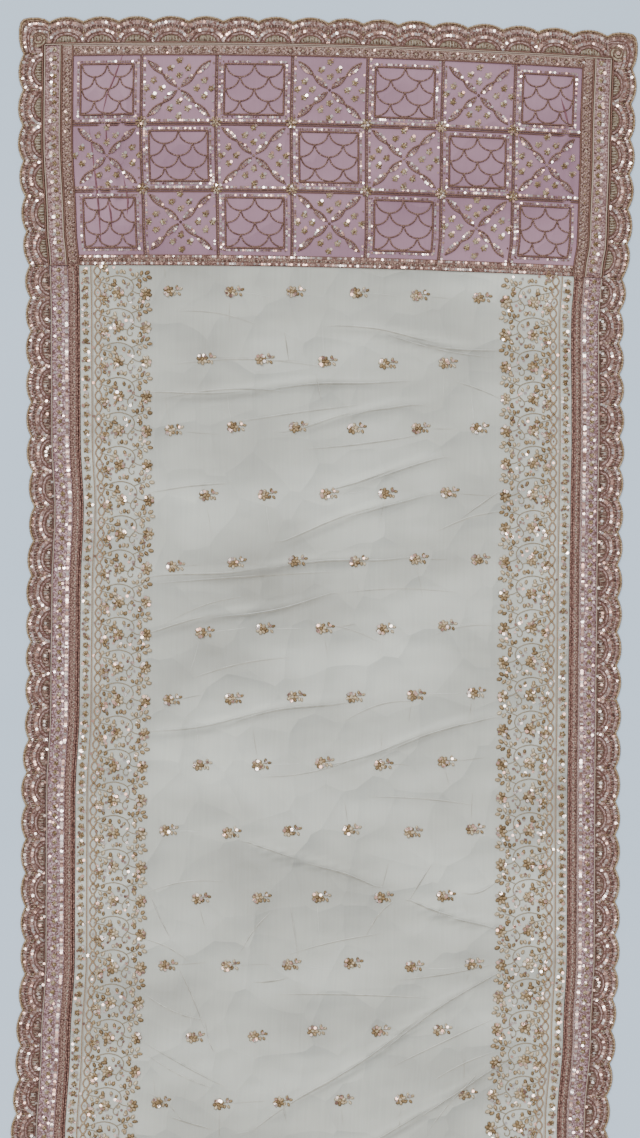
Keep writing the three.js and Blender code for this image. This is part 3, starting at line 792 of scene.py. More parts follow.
def net_sheet(name, node_name, columns, rows, start, stop, even, material, slot):
    """even is the share of the rows that is spread evenly; the rest crowd towards the start."""
    def place(u, v):
        across = (2 * u - 1) * NET_HALF
        along = start + (even * v + (1 - even) * v ** 3) * (stop - start)
        return across, along, CLOTH + 0.04 + ridge_height(across, along)

    piece = finish_piece(cloth_sheet(name, columns, rows, place, material), slot, node_name)
    return keep_cut(piece, 2 * NET_HALF, stop - start)


SEAM_GAP = 0.3
net_cloth = net_sheet(
    "net_cloth", "net_body", 48, 420, PALLU_SEAM + SEAM_GAP, LENGTH - HEM - SEAM_GAP, 0.68, ecru_net, "net")
pallu_cloth = net_sheet(
    "pallu_cloth", "pallu_panel", 150, 40, NET_START, PALLU_SEAM - SEAM_GAP, 1.0, mauve_net, "mauve_net")


# %% Hem, dot bands and braids
def strip_sheet(name, slot, material, side, inset, width, start, stop, top, thickness=CLOTH, crown=0.0):
    """A straight strip along one edge of the cloth, or right across it where side is 0."""
    def place(u, v):
        along = start + (stop - start) * v
        if side:
            across = side * (HALF - inset - width * (u if side < 0 else 1 - u))
            return across, along, top + crown * np.sin(math.pi * u)
        return (u - 0.5) * width, along, top + crown * np.sin(math.pi * v)

    columns, rows = (4, int((stop - start) / 16)) if side else (96, 4)
    sheet = cloth_sheet(name + "_cloth", columns, rows, place, material, thickness)
    return keep_cut(finish_piece(sheet, slot, name), width, stop - start)


strip_sheet("end_hem", "net", hem_material, 0, 0, 935.4, LENGTH - HEM, LENGTH, 1.7, 1.6, 0.3)
BAND_WIDE = BAND_END - BAND_START
PALLU_BRAID = (83, 20)  # inset and width
for edge in EDGES:
    name, side = edge.zone, edge.side
    band = (side, BAND_START, BAND_WIDE)
    strip_sheet(f"dot_band_{name}", "mauve_net", rose_band, *band, BODY_START, LENGTH, CLOTH)
    strip_sheet(f"pallu_dot_band_{name}", "mauve_net", blush_band, *band, NET_START, PALLU, CLOTH)
    strip_sheet(f"braid_{name}", "braid", braid_material, side, 82.5, 15.5, BODY_START, LENGTH, 2.0, 1.2, 0.8)
    strip_sheet(f"pallu_braid_{name}", "braid", pale_braid, side, *PALLU_BRAID, 73.3, PALLU, 1.9, 1.1, 0.4)
end_wide = 2 * (HALF - PALLU_BRAID[0])
strip_sheet("pallu_braid_end", "braid", pale_braid, 0, 0, end_wide, 56, 73, 1.9, 1.1, 0.4)
strip_sheet("pallu_foot_band", "braid", braid_material, 0, 0, 2 * SEAM_BAND_HALF, *SEAM_BAND, 1.9, 1.1, 0.4)

# %% [markdown]
# ## Scalloped lace
# The lace is one strip along each edge with a row of shallow arcs as its outline, so its grid runs
# between the outline and the straight header. Its UV map counts scallops along and distance inwards,
# which is what the ring effect reads.

# %% Make the laces
SCALLOP_DEEP = 9.0


def scallop_inset(share, pitch):
    """How far the outline lies in from the tips, at a share from -1 to 1 across a scallop."""
    radius = (pitch * pitch / 4 + SCALLOP_DEEP ** 2) / (2 * SCALLOP_DEEP)
    return radius - np.sqrt(radius * radius - (share * pitch / 2) ** 2)


def lace_sheet(name, side, start, stop, count, depth, material):
    """Lace along an edge (side -1 or 1) or across the pallu end (side 0)."""
    pitch = (stop - start) / count

    def parts(u, v):
        run, down = (v, (u if side < 0 else 1 - u)) if side else (u, v)
        outline = scallop_inset(2 * np.mod(run * count, 1.0) - 1, pitch)
        return run, down, outline, outline + (depth - outline) * down

    def place(u, v):
        run, down, outline, inset = parts(u, v)
        run = start + (stop - start) * run
        across, along = (side * (HALF - inset), run) if side else (run, inset)
        return across, along, 1.15 + 0.9 * np.sin(math.pi * np.clip(down * 1.3, 0, 1))

    def pattern(u, v):
        run, down, outline, inset = parts(u, v)
        return run * count, (inset - depth + LACE) / UV_DEPTH

    def from_edge(u, v):
        run, down, outline, inset = parts(u, v)
        return inset - outline

    columns, rows = (6, count * 8) if side else (count * 8, 6)
    piece = cloth_sheet(name + "_cloth", columns, rows, place, material, 0.9, pattern, from_edge)
    return keep_cut(finish_piece(piece, "lace", name), depth, stop - start, 0.93)


for edge in EDGES:
    lace_sheet(f"lace_{edge.zone}", edge.side, BODY_START, LENGTH, BODY_SCALLOPS, LACE, body_lace)
    lace_sheet(f"pallu_lace_{edge.zone}", edge.side, FAN_END, PALLU, PALLU_SCALLOPS, LACE, pallu_lace)
lace_sheet("lace_end", 0, -END_HALF, END_HALF, END_SCALLOPS, END_LACE, pallu_lace)

# %% [markdown]
# ## Corner fans
# At each corner one rounded lobe turns the lace through a right angle. Its grid runs from the outline to
# the header, and its UV map gives the same distance as the scallops' one, measured from its coiled eye.

# %% Make the corner fans
FAN = np.array([  # inset from the side and from the end, round the outline
    (58, 9), (49, 3), (36, 0), (20, 0), (9, 2), (3, 8), (0, 20), (0, 40), (3, 56), (9, 69)], float)
FAN_HEADER = np.array([(58 - 11 * min(i / 3, 1), 51 + 18 * max(0, (i - 3) / 6)) for i in range(len(FAN))])
EYE = (38.0, 41.0)


def fan_point(turn, down):
    """Inset from the side and from the end, at a share round the fan and one in from its outline."""
    knots = range(len(FAN))
    at = turn * (len(FAN) - 1)
    outer, inner = [np.stack([np.interp(at, knots, line[:, k]) for k in (0, 1)], -1)
                    for line in (FAN, FAN_HEADER)]
    return outer + (inner - outer) * np.asarray(down)[..., None]


def fan_line(edge, down, low=0.0, high=1.0, count=28):
    """Cloth coordinates of a line round a fan, at one share in from its outline."""
    points = fan_point(np.linspace(low, high, count), np.full(count, down))
    return edge.across(points[:, 0]), points[:, 1]


def fan_pattern(u, v):
    point = fan_point(u, v)
    reach = np.hypot(point[..., 0] - EYE[0], point[..., 1] - EYE[1])
    return np.full(u.shape, 0.5), (LACE - np.minimum(reach * 0.95, 46)) / UV_DEPTH


for edge in EDGES:
    def fan_place(u, v, side=edge.side):
        point = fan_point(u, v)
        top = 1.15 + 1.2 * np.sin(math.pi * np.clip(v * 1.1, 0, 1))
        return side * (HALF - point[..., 0]), point[..., 1], top

    name = f"corner_fan_{edge.zone}"
    piece = cloth_sheet(name + "_cloth", 27, 10, fan_place, pallu_lace, 0.9, fan_pattern, lambda u, v: 44 * v)
    if edge.side < 0:
        piece.data.flip_normals()
    keep_cut(finish_piece(piece, "lace", name), 62, 69, 0.84)

# %% [markdown]
# ## Cords along the edges
# The lace's outline is overlocked: a cord is laid along it and bound with close stitches across it. Its
# header has a copper and a cream cord, and further cords run beside the braid. On the net a thin stitched
# line and a lattice of two crossing waves follow.


# %% Overlocked outline
def scallop_outline(start, stop, count, steps=8):
    share = np.arange(count * steps + 1) / steps
    pitch = (stop - start) / count
    return start + share * pitch, scallop_inset(2 * (share % 1.0) - 1, pitch)


def overlock(zone, across, along, inner_across, inner_along):
    """The bound edge along one line, and the row of small knots along another just inside it."""
    thread(zone, across, along, 1.6, OLIVE, 0.8)
    bead_line(zone, "gold", across, along, 3.1, 5.6, 2.5, 1.3, crosswise=True)
    bead_line(zone, "copper", inner_across, inner_along, 4.0, 3.8, 2.8, 1.5)


BINDING, KNOTS = 1.9, 6.2  # how far in from the outline they run
for edge in EDGES:
    for start, stop, count in ((BODY_START, LENGTH, BODY_SCALLOPS), (FAN_END, PALLU, PALLU_SCALLOPS)):
        run, inset = scallop_outline(start, stop, count)
        overlock(edge.zone, edge.across(inset + BINDING), run, edge.across(inset + KNOTS), run)
    overlock("pallu", *fan_line(edge, 0.05), *fan_line(edge, 0.15, 0.03, 0.97))
run, inset = scallop_outline(-END_HALF, END_HALF, END_SCALLOPS)
overlock("pallu", run, inset + BINDING, run, inset + KNOTS + 0.2)

# %% Long cords
BODY_CORDS = [  # inset, radius, thread, lift
    (45.6, 0.9, COPPER, 0.9), (48.4, 1.1, CREAM, 0.9), (80.4, 0.8, CREAM, 0.5), (83.4, 0.8, COPPER, 0.9),
    (94.4, 1.9, DARK, 1.5), (98.2, 2.2, DARK, 0.7), (121.8, 1.1, OLIVE, 0.1), (124.4, 0.5, CREAM, 0.1)]
PALLU_CORDS = [  # inset, radius, thread, lift
    (46, 2.3, COPPER, 0.9), (50, 1.3, CREAM, 0.9), (79, 1.5, CREAM, 0.9), (82.6, 1.9, COPPER, 1.2),
    (102.4, 2.0, COPPER, 1.2)]
END_CORDS = [  # along, radius, thread, half length
    (49.3, 1.1, COPPER, 517), (52.2, 1.1, CREAM, 516), (55.4, 1.1, CREAM, 483), (73.4, 1.4, COPPER, 464),
    (454.6, 1.1, COPPER, 463), (472.9, 1.3, DARK, 520)]
LATTICE, LATTICE_SWING = 134.0, 6.2  # inset of the lattice's middle, and how far it swings to each side
LENSES = 3  # to one scallop
FINE_UNTIL = 30  # scallops from the pallu whose lattice is bent most smoothly
lattice_steps = [np.arange(0, FINE_UNTIL, 1 / 15), np.arange(FINE_UNTIL, BODY_SCALLOPS + 0.01, 1 / 9)]
for edge in EDGES:
    for inset, radius, number, lift in BODY_CORDS:
        thread(edge.zone, edge.body(inset), np.linspace(BODY_START + 1, LENGTH, 160), radius, number, lift)
    for inset, radius, number, lift in PALLU_CORDS:
        thread(edge.zone, edge.across(inset), np.linspace(54, PALLU, 16), radius, number, lift)
    run = BODY_START + PITCH * np.concatenate(lattice_steps)
    for phase in (0, math.pi):
        wave = LATTICE_SWING * np.sin(LENSES * math.pi * (run - BODY_START) / PITCH + phase)
        thread(edge.zone, edge.body(LATTICE + wave), run, 1.5, OLIVE, 0.2)
    for k in range(LENSES * BODY_SCALLOPS):
        knot = BODY_START + k * PITCH / LENSES
        bead(edge.zone, "gold", edge.body(LATTICE), knot, 7.5, 6.5, 1.6, 0, 0.1, 0.4)
        if dice.random() < 0.35:
            sequin(edge.zone, edge.body(LATTICE), knot + PITCH / LENSES / 2, 5.2)
for along, radius, number, half in END_CORDS:
    thread("pallu", np.linspace(-half, half, 40), along, radius, number, 1.0)

# %% [markdown]
# ## Lace rings
# Inside each scallop copper cords arch over a half moon of cream threads, with sequins sewn between
# them and a ladder of short stitches outside. The arches belong to one family of flattened circles.


# %% Rings, half moons and sequins of every scallop
def fill_scallop(zone, point, middle, pitch, depth, foot, plain_moon=True):
    """point(run, inset) gives cloth coordinates; the scallop's foot is at run = middle, inset = depth, and
    its cord has the radius foot. A moon that isn't plain has copper threads and sequins too."""
    def arch(radius, step=6.0):
        low = math.acos(min(0.99, pitch / 2 * FLATTEN / radius))
        count = max(5, int((math.pi - 2 * low) * radius / 0.9 / step))
        angles = np.linspace(low, math.pi - low, count)
        return middle + radius / FLATTEN * np.cos(angles), depth - radius * np.sin(angles)

    for radius, size in ((16.4, 1.1), (21.5, 0.9)):
        thread(zone, *point(*arch(radius)), size, COPPER, 1.2)
    for radius in (25.0, 39.6):
        for run, inset in zip(*arch(radius, 4.6)):
            if dice.random() < 0.94:
                sequin(zone, *point(run, inset), 5.5, 0.24, 1.7)
    inner, outer = np.array(arch(29.6, 4.2)), np.array(arch(35.2, 4.2))
    for k, share in enumerate(np.linspace(0, 1, outer.shape[1])):
        near = [np.interp(share, np.linspace(0, 1, inner.shape[1]), line) for line in inner]
        stitch(zone, "copper" if k % 2 else "cream", point(*near), point(*outer[:, k]), 2.2, 1.3)
    for k, r in enumerate(np.linspace(-15.5, 15.5, 7)):
        low = depth - 1.2
        tall = 14.6 * math.sqrt(1 - (r / 20.5) ** 2)
        kind = "cream" if plain_moon or k % 3 != 1 else "copper"
        stitch(zone, kind, point(middle + r, low), point(middle + r, low - tall), 2.2, 1.2, 1.0)
    for run, inset in zip(*arch(10.0, 4.6)):
        if not plain_moon and dice.random() < 0.75:
            sequin(zone, *point(run, inset), 5.6, 0.18, 2.0)
    thread(zone, *point(middle + np.linspace(-17, 17, 4), depth - 1.0), foot, COPPER, 1.1)
    for high, size in ((6, 3.6), (13, 4.6), (20, 4.6), (26, 4.0)):
        bead(zone, "gold", *point(middle - pitch / 2, depth - high), size, size * 0.8, 1.6, 0.6, 0.1, 1.2)


for edge in EDGES:
    def edge_point(run, inset, edge=edge):
        return edge.across(inset), run

    for k in range(BODY_SCALLOPS):
        fill_scallop(edge.zone, edge_point, BODY_START + (k + 0.5) * PITCH, PITCH, LACE, 1.2, False)
    for k in range(PALLU_SCALLOPS):
        fill_scallop(edge.zone, edge_point, FAN_END + (k + 0.5) * PALLU_PITCH, PALLU_PITCH, LACE, 2.0)
for k in range(END_SCALLOPS):
    middle = -END_HALF + (k + 0.5) * END_PITCH
    fill_scallop("pallu", lambda run, inset: (run, inset), middle, END_PITCH, END_LACE, 1.6)

# %% Coiled eye and rings of the corner fans
for edge in EDGES:
    turns = np.linspace(0, 4.5 * math.pi, 44)
    spread = 2 + turns * 0.95
    eye = edge.across(EYE[0] + spread * np.cos(turns)), EYE[1] + spread * np.sin(turns)
    thread("pallu", *eye, 1.0, COPPER, 1.7)
    for down, size in ((0.34, 1.0), (0.44, 0.8), (0.62, 0.9)):
        thread("pallu", *fan_line(edge, down, 0.03, 0.97), size, COPPER, 1.7)
    sequin_line("pallu", *fan_line(edge, 0.24, 0.03, 0.97), 4.2, 4.6, 1.8)
    sequin_line("pallu", *fan_line(edge, 0.53, 0.05, 0.95), 4.4, 4.6, 2.0)
    sequin("pallu", edge.across(EYE[0]), EYE[1], 7.5, 0.1, 2.6)
print("beads so far", sum(len(rows) for rows in trays.values()))

# %% [markdown]
# ## Flowers, leaves and dots
# The embroidery on the net is made of a few small units: a round flower of petals round a knot, a dot
# of one knot with a ring of small ones and a sequin beside it, and sprays of leaf stitches on a stem.


# %% Embroidery units
def flower(zone, across, along, size, tall=1.0):
    """tall stretches the flower along the cloth."""
    first = dice.uniform(0, ROUND)
    bead(zone, "petal", across, along, size * 0.8, size * 0.8, 1.2, first, 0.06, 0.0)
    bead(zone, "gold", across, along, size * 0.36, thick=2.0, lift=0.7)
    ring(zone, "petal", across, along, 7, 0.31 * size, size * 0.46, size * 0.36, 1.5, first,
         tilt=0.14, lift=0.5, tall=tall)
    for k in range(3):
        angle = first + dice.uniform(0, 3.5)
        sequin(zone, *beside(across, along, 0.34 * size, angle, tall), 6.4, 0.12, 1.7)


def leaf(zone, across, along, angle, length, width):
    """angle is measured from the direction across the cloth, anticlockwise as seen from above."""
    bead(zone, "petal", *beside(across, along, length * 0.4, angle), length, width, 1.4, angle, 0.12, 0.2)


def dot(zone, across, along, size, where=None):
    """A flat button of thread with a knot and a ring of small ones, and a sequin at its side."""
    bead(zone, "petal", across, along, size * 0.84, thick=1.0, turn=dice.uniform(0, 1), lift=0.1)
    bead(zone, "gold", across, along, size * 0.4, thick=1.7, lift=0.7)
    ring(zone, "gold", across, along, 5, 0.33 * size, size * 0.36, size * 0.3, 1.3, dice.uniform(0, ROUND),
         tilt=0.16, lift=0.4)
    angle = dice.uniform(0, ROUND) if where is None else where + dice.uniform(-0.4, 0.4)
    sequin(zone, *beside(across, along, 0.44 * size, angle), max(5.2, 0.48 * size), 0.15, 1.1)


# %% [markdown]
# ## Side borders
# The order from the lace inwards is: a row of dots on the rose band, a line of overlapping sequins,
# the braid, a row of dots on the net, the stitched line, the lattice, and a vine. In each repeat of the
# vine a stem leaves the lattice, arches over and curls back, with round flowers at its sides, a bud
# spray and small leaves. Its heads point to the middle of the cloth on both edges.

# %% One repeat of the vine: inset and run in millimetres
VINE_START, VINE_STRETCH = 118.0, 1.045
LEAF_LONGER, LEAF_WIDER = 1.55, 1.65
STEM_LINE = [
    (135, 36), (144, 30), (157, 25), (169, 23), (180, 25), (190, 29), (196, 35), (199, 44), (196, 53),
    (189, 60), (185, 68), (189, 75), (195, 73), (195, 68)]
SIDE_STEMS = [
    [(196, 53), (202, 57), (211, 59)], [(194, 32), (203, 28), (214, 25)], [(136, 35), (146, 38), (158, 41)],
    [(187, 64), (180, 62), (174, 60)]]
FLOWERS = [(170, 57, 23, 1.0), (220, 59, 22, 1.25), (145, 3, 17, 1.0)]  # inset, run, size, tall
LEAVES = [  # inset, run, angle in degrees, length, width
    (203, 26, 75, 7.5, 4.6), (206, 30, -50, 7.5, 4.6), (211, 23, 60, 7.5, 4.6), (215, 28, -35, 7.5, 4.6),
    (219, 20, 35, 8, 5), (222, 25, -10, 8, 5), (140, 33, 65, 7, 4.2), (144, 40, -65, 7, 4.2),
    (149, 35, 50, 7.5, 4.4), (153, 43, -45, 7.5, 4.6), (158, 40, -10, 9, 5), (164, 30, -90, 7, 4.6),
    (175, 19, 75, 6.5, 4.2), (183, 20, 115, 6, 4), (179, 31, -80, 6.5, 4.2), (208, 48, 80, 7.5, 4.6),
    (209, 67, -80, 7.5, 4.6), (191, 37, -125, 6, 3.6), (170, 20, 105, 5.5, 3.6), (152, 22, 95, 6, 3.8),
    (148, 16, 150, 6, 4), (203, 42, 20, 6, 4), (184, 76, -100, 6, 3.8), (158, 52, 160, 5.5, 3.6),
    (199, 24, 120, 6, 4), (150, 50, -120, 6.5, 4), (192, 62, 30, 5.5, 3.6), (162, 72, 60, 6, 4),
    (152, 66, 140, 6, 4), (205, 76, 20, 6.5, 4)]
LOOSE_SEQUINS = [
    (181, 38), (192, 12), (166, 44), (152, 12), (176, 76), (206, 38), (156, 62), (140, 54), (199, 66),
    (215, 76), (126, 32), (186, 46), (208, 10), (162, 8), (193, 48), (196, 50)]


def vine_repeat(edge, start):
    zone = edge.zone

    def spot(inset, run):
        drawn = VINE_START + (np.asarray(inset, float) - VINE_START) * VINE_STRETCH
        return edge.body(drawn), start + np.asarray(run, float)

    for line, radius in [(STEM_LINE, 0.9)] + [(line, 0.8) for line in SIDE_STEMS]:
        thread(zone, *spot(*rounded(line).T), radius, STEM, 0.3)
    for inset, run, size, tall in FLOWERS:
        flower(zone, *spot(inset, run), size * dice.uniform(0.94, 1.08), tall)
    for inset, run, angle, length, width in LEAVES:
        turn = edge.turned(math.radians(angle + dice.uniform(-14, 14)))
        leaf(zone, *spot(inset, run), turn, length * LEAF_LONGER, width * LEAF_WIDER)
    for inset, run in LOOSE_SEQUINS:
        if dice.random() < 0.85:
            sequin(zone, *spot(inset + dice.uniform(-2, 2), run + dice.uniform(-2, 2)), 6.0, 0.2, 0.5)


# %% Sew both side borders
DOT_STEP = 16.6
PALLU_BRAID_MIDDLE = 93.0
for edge in EDGES:
    zone = edge.zone
    for k in range(BODY_SCALLOPS - 1):
        vine_repeat(edge, BODY_START - 3.5 + k * PITCH)
    for run in np.arange(BODY_START + 8, LENGTH - 6, DOT_STEP):
        dot(zone, edge.body(61.5), run, 11)
        dot(zone, edge.body(111), run + 4, 13.6)
        for inset, chance in ((54.0, 0.9), (68.5, 0.9), (105, 0.6), (117, 0.4)):
            if dice.random() < chance:
                sequin(zone, edge.body(inset), run + DOT_STEP / 2 + dice.uniform(-4, 4), 5.6, 0.2)
        for inset in (54, 57, 66, 69):
            place = edge.across(inset + dice.uniform(-2, 2)), run + dice.uniform(4, 12)
            bead(zone, "copper", *place, 4.6, 2.6, 1.3, dice.uniform(0, 3))
    whole = np.array([BODY_START + 2, LENGTH - 2])
    sequin_line(zone, edge.body(75.0), whole, 4.0, 6.4, 0.6, 0.95, 0.16)
    for inset, kind in ((85.8, "copper"), (89.6, "cream")):
        bead_line(zone, kind, edge.body(inset), whole, 7.4, 5.4, 2.8, 2.1)
    for run in np.arange(62, PALLU - 6, DOT_STEP):
        dot(zone, edge.across(68.5), run, 11.5, edge.turned(math.pi))
        sequin(zone, edge.across(61.5), run + 2, 6.4, 0.12, 1.2)
        sequin(zone, edge.across(63), run - 5, 5.2, 0.2, 1.2)
        bead(zone, "copper", edge.across(57), run + 8, 6.5, 3.0, 1.4, 0.4)
        bead(zone, "copper", edge.across(75.5), run + 7, 6.5, 3.0, 1.4, -0.4)
    middle = edge.across(PALLU_BRAID_MIDDLE)
    for run in np.arange(84, PALLU - 6, DOT_STEP):
        ring(zone, "copper", middle, run, 6, 5.0, 5.6, 3.6, 1.5, lean=QUARTER_TURN, hand=-1)
        bead(zone, "gold", middle, run, 4.4, 4.4, 1.7, 0, 0.1, 1.6)
        for slip in (-5.5, 5.5):
            bead(zone, "copper", middle + slip, run + DOT_STEP / 2, 7.0, 3.4, 1.5, 0.5, 0.12, 1.6)
        if dice.random() < 0.5:
            sequin(zone, middle + dice.uniform(-5, 5), run + dice.uniform(-6, 6), 4.8, 0.2, 2.6)
print("beads so far", sum(len(rows) for rows in trays.values()))

# %% [markdown]
# ## Sprigs on the net
# Small sprigs stand in rows on the plain net, six and five by turns, so that each row sits between the
# ones next to it: a round flower with a short stem and leaves to its right.

# %% Sew the sprigs
SPRIG_ROWS, SPRIG_STEP = 127.6, 115.5  # from row to row, and from one to the next
SPRIG_LEAVES = ((14, -5, 80), (19, -4, 10), (17, 2, -60), (13, 1, -110))  # across, along, angle in degrees
sprig_places = []
for row, along in enumerate(np.arange(524, LENGTH - 60, SPRIG_ROWS)):
    count = 5 if row % 2 else 6
    for k in range(count):
        across = (k - (count - 1) / 2) * SPRIG_STEP + dice.uniform(-3, 3) - 3
        here = along + dice.uniform(-4, 4)
        sprig_places.append((across, here))
        flower("field", across, here, 22)
        thread("field", [across + 8, across + 13, across + 18], [here - 1, here - 3, here - 2], 0.8, STEM)
        for x, y, angle in SPRIG_LEAVES:
            leaf("field", across + x, here + y, math.radians(angle + dice.uniform(-20, 20)), 9, 6)
        sequin("field", across + 17, here - 6, 5.8, 0.14, 1.4)
        sequin("field", across - 6, here - 6, 5.8, 0.14, 1.8)

# %% [markdown]
# ## The pallu
# Seven by three squares alternate like a chessboard. One kind is a window: a frame of cord and sequins
# filled with rows of hanging arcs, like fish scales. The other is a cross of four arms, each with two
# pointed leaves, and four dots in each quarter. Knots mark the crossings of the grid.

# %% Grid of the pallu
GRID = [-463.0, -338.0, -201.5, -64.0, 73.0, 210.0, 341.5, 463.0]  # the lines between the seven columns
GRID_TOP, CELL_TALL = 74.0, 380.0 / 3


def beaded_cord(across, along, radius, step, size):
    """A copper cord with a small knot on every stitch."""
    thread("pallu", across, along, radius, COPPER, 0.4)
    bead_line("pallu", "copper", across, along, step, size, size * 0.85, 0.6)


for x in GRID[1:-1]:
    down = np.linspace(GRID_TOP, SEAM_BAND[0], 12)
    thread("pallu", x - 2.0, down, 1.1, COPPER, 0.4)
    beaded_cord(x + 1.2, down, 1.4, 4.4, 5.0)
    sequin_line("pallu", x + 5.8, down, 4.4, 4.6, 0.6, 0.7)
    sequin_line("pallu", x - 5.8, down, 6.0, 4.4, 0.6, 0.35)
for k in (1, 2):
    y, over = GRID_TOP + k * CELL_TALL, np.linspace(-462, 462, 30)
    thread("pallu", over, y + 5.4, 1.4, COPPER, 0.4)
    beaded_cord(over, y + 1.4, 1.8, 4.4, 5.2)
    sequin_line("pallu", over, y - 3.4, 4.2, 4.8, 0.6, 0.95)


# %% Window squares
def box_line(left, top, wide, tall, inset):
    x0, y0, x1, y1 = left + inset, top + inset, left + wide - inset, top + tall - inset
    return [([x0, x1], [y0, y0]), ([x1, x1], [y0, y1]), ([x1, x0], [y1, y1]), ([x0, x0], [y1, y0])]


def window(x, y, cell):
    wide, tall = cell - 20.0, 105.0
    left, top = x + 10.0, y + (CELL_TALL - tall) / 2 + 1.0
    for across, along in box_line(left, top, wide, tall, 0.0):
        sequin_line("pallu", across, along, 4.3, 4.4, 0.6, 0.9, 0.3)
    for across, along in box_line(left, top, wide, tall, 4.6):
        beaded_cord(np.linspace(*across, 6), np.linspace(*along, 6), 1.9, 4.2, 5.0)
    half, drop = (wide - 13) / 4, (tall - 13) / 4
    radius = (half * half + drop * drop) / (2 * drop)
    x0, y0 = left + 6.5, top + 6.0
    t = np.linspace(-1, 1, 13)
    hang = np.sqrt(radius * radius - (t * half) ** 2) - radius + drop
    for row in range(4):
        for middle in ((0, 2, 4) if row % 2 else (1, 3)):
            xs, ys = x0 + (middle + t) * half, y0 + row * drop + hang
            keep = (xs > x0 - 1) & (xs < x0 + 4 * half + 1)
            beaded_cord(xs[keep], ys[keep], 1.3, 4.0, 4.2)


# %% Cross squares
def pointed_leaf(middle_x, middle_y, ux, uy, near, far):
    """A leaf along the direction ux, uy: a rib of stitches and two sides, one of them set with sequins."""
    bright = dice.choice((-1, 1))
    rib = np.array([near + 5, far - 5])
    bead_line("pallu", "gold", middle_x + rib * ux, middle_y + rib * uy, 4.4, 5.4, 2.8, 0.4, crosswise=True)
    t = np.linspace(0, 1, 9)
    reach, bulge = near + (far - near) * t, 4.4 * np.sin(math.pi * t)
    for hand in (-1, 1):
        xs = middle_x + reach * ux - hand * bulge * uy
        ys = middle_y + reach * uy + hand * bulge * ux
        if hand == bright:
            thread("pallu", xs, ys, 1.1, COPPER)
            sequin_line("pallu", xs[1:-1], ys[1:-1], 4.6, 5.0, 1.4, 0.8, 0.16)
        else:
            beaded_cord(xs, ys, 1.5, 4.2, 4.8)


def cross(x, y, cell):
    middle_x, middle_y = x + cell / 2, y + CELL_TALL / 2
    end = math.hypot(cell, CELL_TALL) / 2 - 15
    for sx, sy in ((-1, -1), (-1, 1), (1, -1), (1, 1)):
        angle = math.atan2(sy * CELL_TALL, sx * cell)
        for near, far in ((5, end / 2 + 1), (end / 2, end)):
            pointed_leaf(middle_x, middle_y, math.cos(angle), math.sin(angle), near, far)
    for dx, dy in ((0, 53), (16, 38), (-16, 38), (0, 25)):
        for sign in (-1, 1):
            dot("pallu", middle_x + dx, middle_y + sign * dy, 13.5, 0.9)
    for dx, dy in ((46, 15), (59, 0), (32, 0), (46, -15)):
        for sign in (-1, 1):
            dot("pallu", middle_x + sign * dx, middle_y + dy, 13.5, 0.9)
    bead("pallu", "copper", middle_x, middle_y, 6, thick=2.0, lift=0.5)


for row in range(3):
    for column in range(7):
        place = (GRID[column], GRID_TOP + row * CELL_TALL, GRID[column + 1] - GRID[column])
        cross(*place) if (row + column) % 2 else window(*place)


# %% Knots at the crossings, and the motifs of the bands
def rosette(across, along):
    for count, reach, length, width in ((6, 3.6, 6.5, 4.6), (9, 8.4, 7.5, 5)):
        ring("pallu", "gold", across, along, count, reach, length, width, 1.8, reach, tilt=0.15, lift=0.9)
    for n in range(7):
        angle = dice.uniform(0, ROUND)
        sequin("pallu", *beside(across, along, dice.uniform(3, 10), angle), 4.6, 0.25, 2.2)


END_BRAID_MIDDLE, SEAM_MIDDLE = 64.5, 464
for x in GRID[1:-1]:
    for j in (1, 2):
        rosette(x, GRID_TOP + j * CELL_TALL)
for x in np.arange(-456, 460, 22.8):
    y = END_BRAID_MIDDLE
    ring("pallu", "copper", x, y, 7, 4.6, 5.0, 3.4, 1.6, lean=QUARTER_TURN, hand=-1, lift=1.7)
    bead("pallu", "gold", x, y, 4.4, thick=1.6, lift=1.7)
    for slip in (-4.5, 4.5):
        bead("pallu", "copper", x + 11.4, y + slip, 6.0, 3.4, 1.5, dice.uniform(1, 2), 0.12, 1.6)
    for reach in (dice.uniform(4, 8), dice.uniform(12, 18)):
        sequin("pallu", x + reach, y + dice.uniform(-6, 6), 4.6, 0.2, 2.6)
for x in np.arange(-458, 460, 8.4):
    for kind, over, slip, length, width, thick in (("copper", 0, 1, 7, 5, 1.5), ("cream", 4.2, 2, 4, 3, 1.4)):
        y = SEAM_MIDDLE + dice.uniform(-slip, slip)
        bead("pallu", kind, x + over, y, length, width, thick, dice.uniform(0, 3), 0.15, 1.8)
for y in (457.0, 470.4):
    sequin_line("pallu", [-462, 462], y, 4.6, 4.8, 1.9, 0.9)
print("beads in all", sum(len(rows) for rows in trays.values()))

# %% [markdown]
# ## Crease lines
# Where net was folded hard its threads crowd together, and each fold gets a fine darker cord on its
# shadow side, partly that denser net and partly painted shade, with a paler cord beside it that is a
# painted highlight. Each cord is darker or paler than the net, thin enough to vanish towards both ends.

# %% Crease lines
def crease_line(zone, across, along, radius, number):
    share = np.linspace(0, 1, len(across))
    thread(zone, across, along, 0.08 + radius * np.sin(math.pi * share), number, -0.1)


def wander(count, size):
    """A smooth random wobble, as a pressed crease has."""
    knots = np.cumsum(dice.normal(0, size, max(3, count // 4)))
    return np.interp(np.linspace(0, 1, count), np.linspace(0, 1, len(knots)), knots - knots.mean())


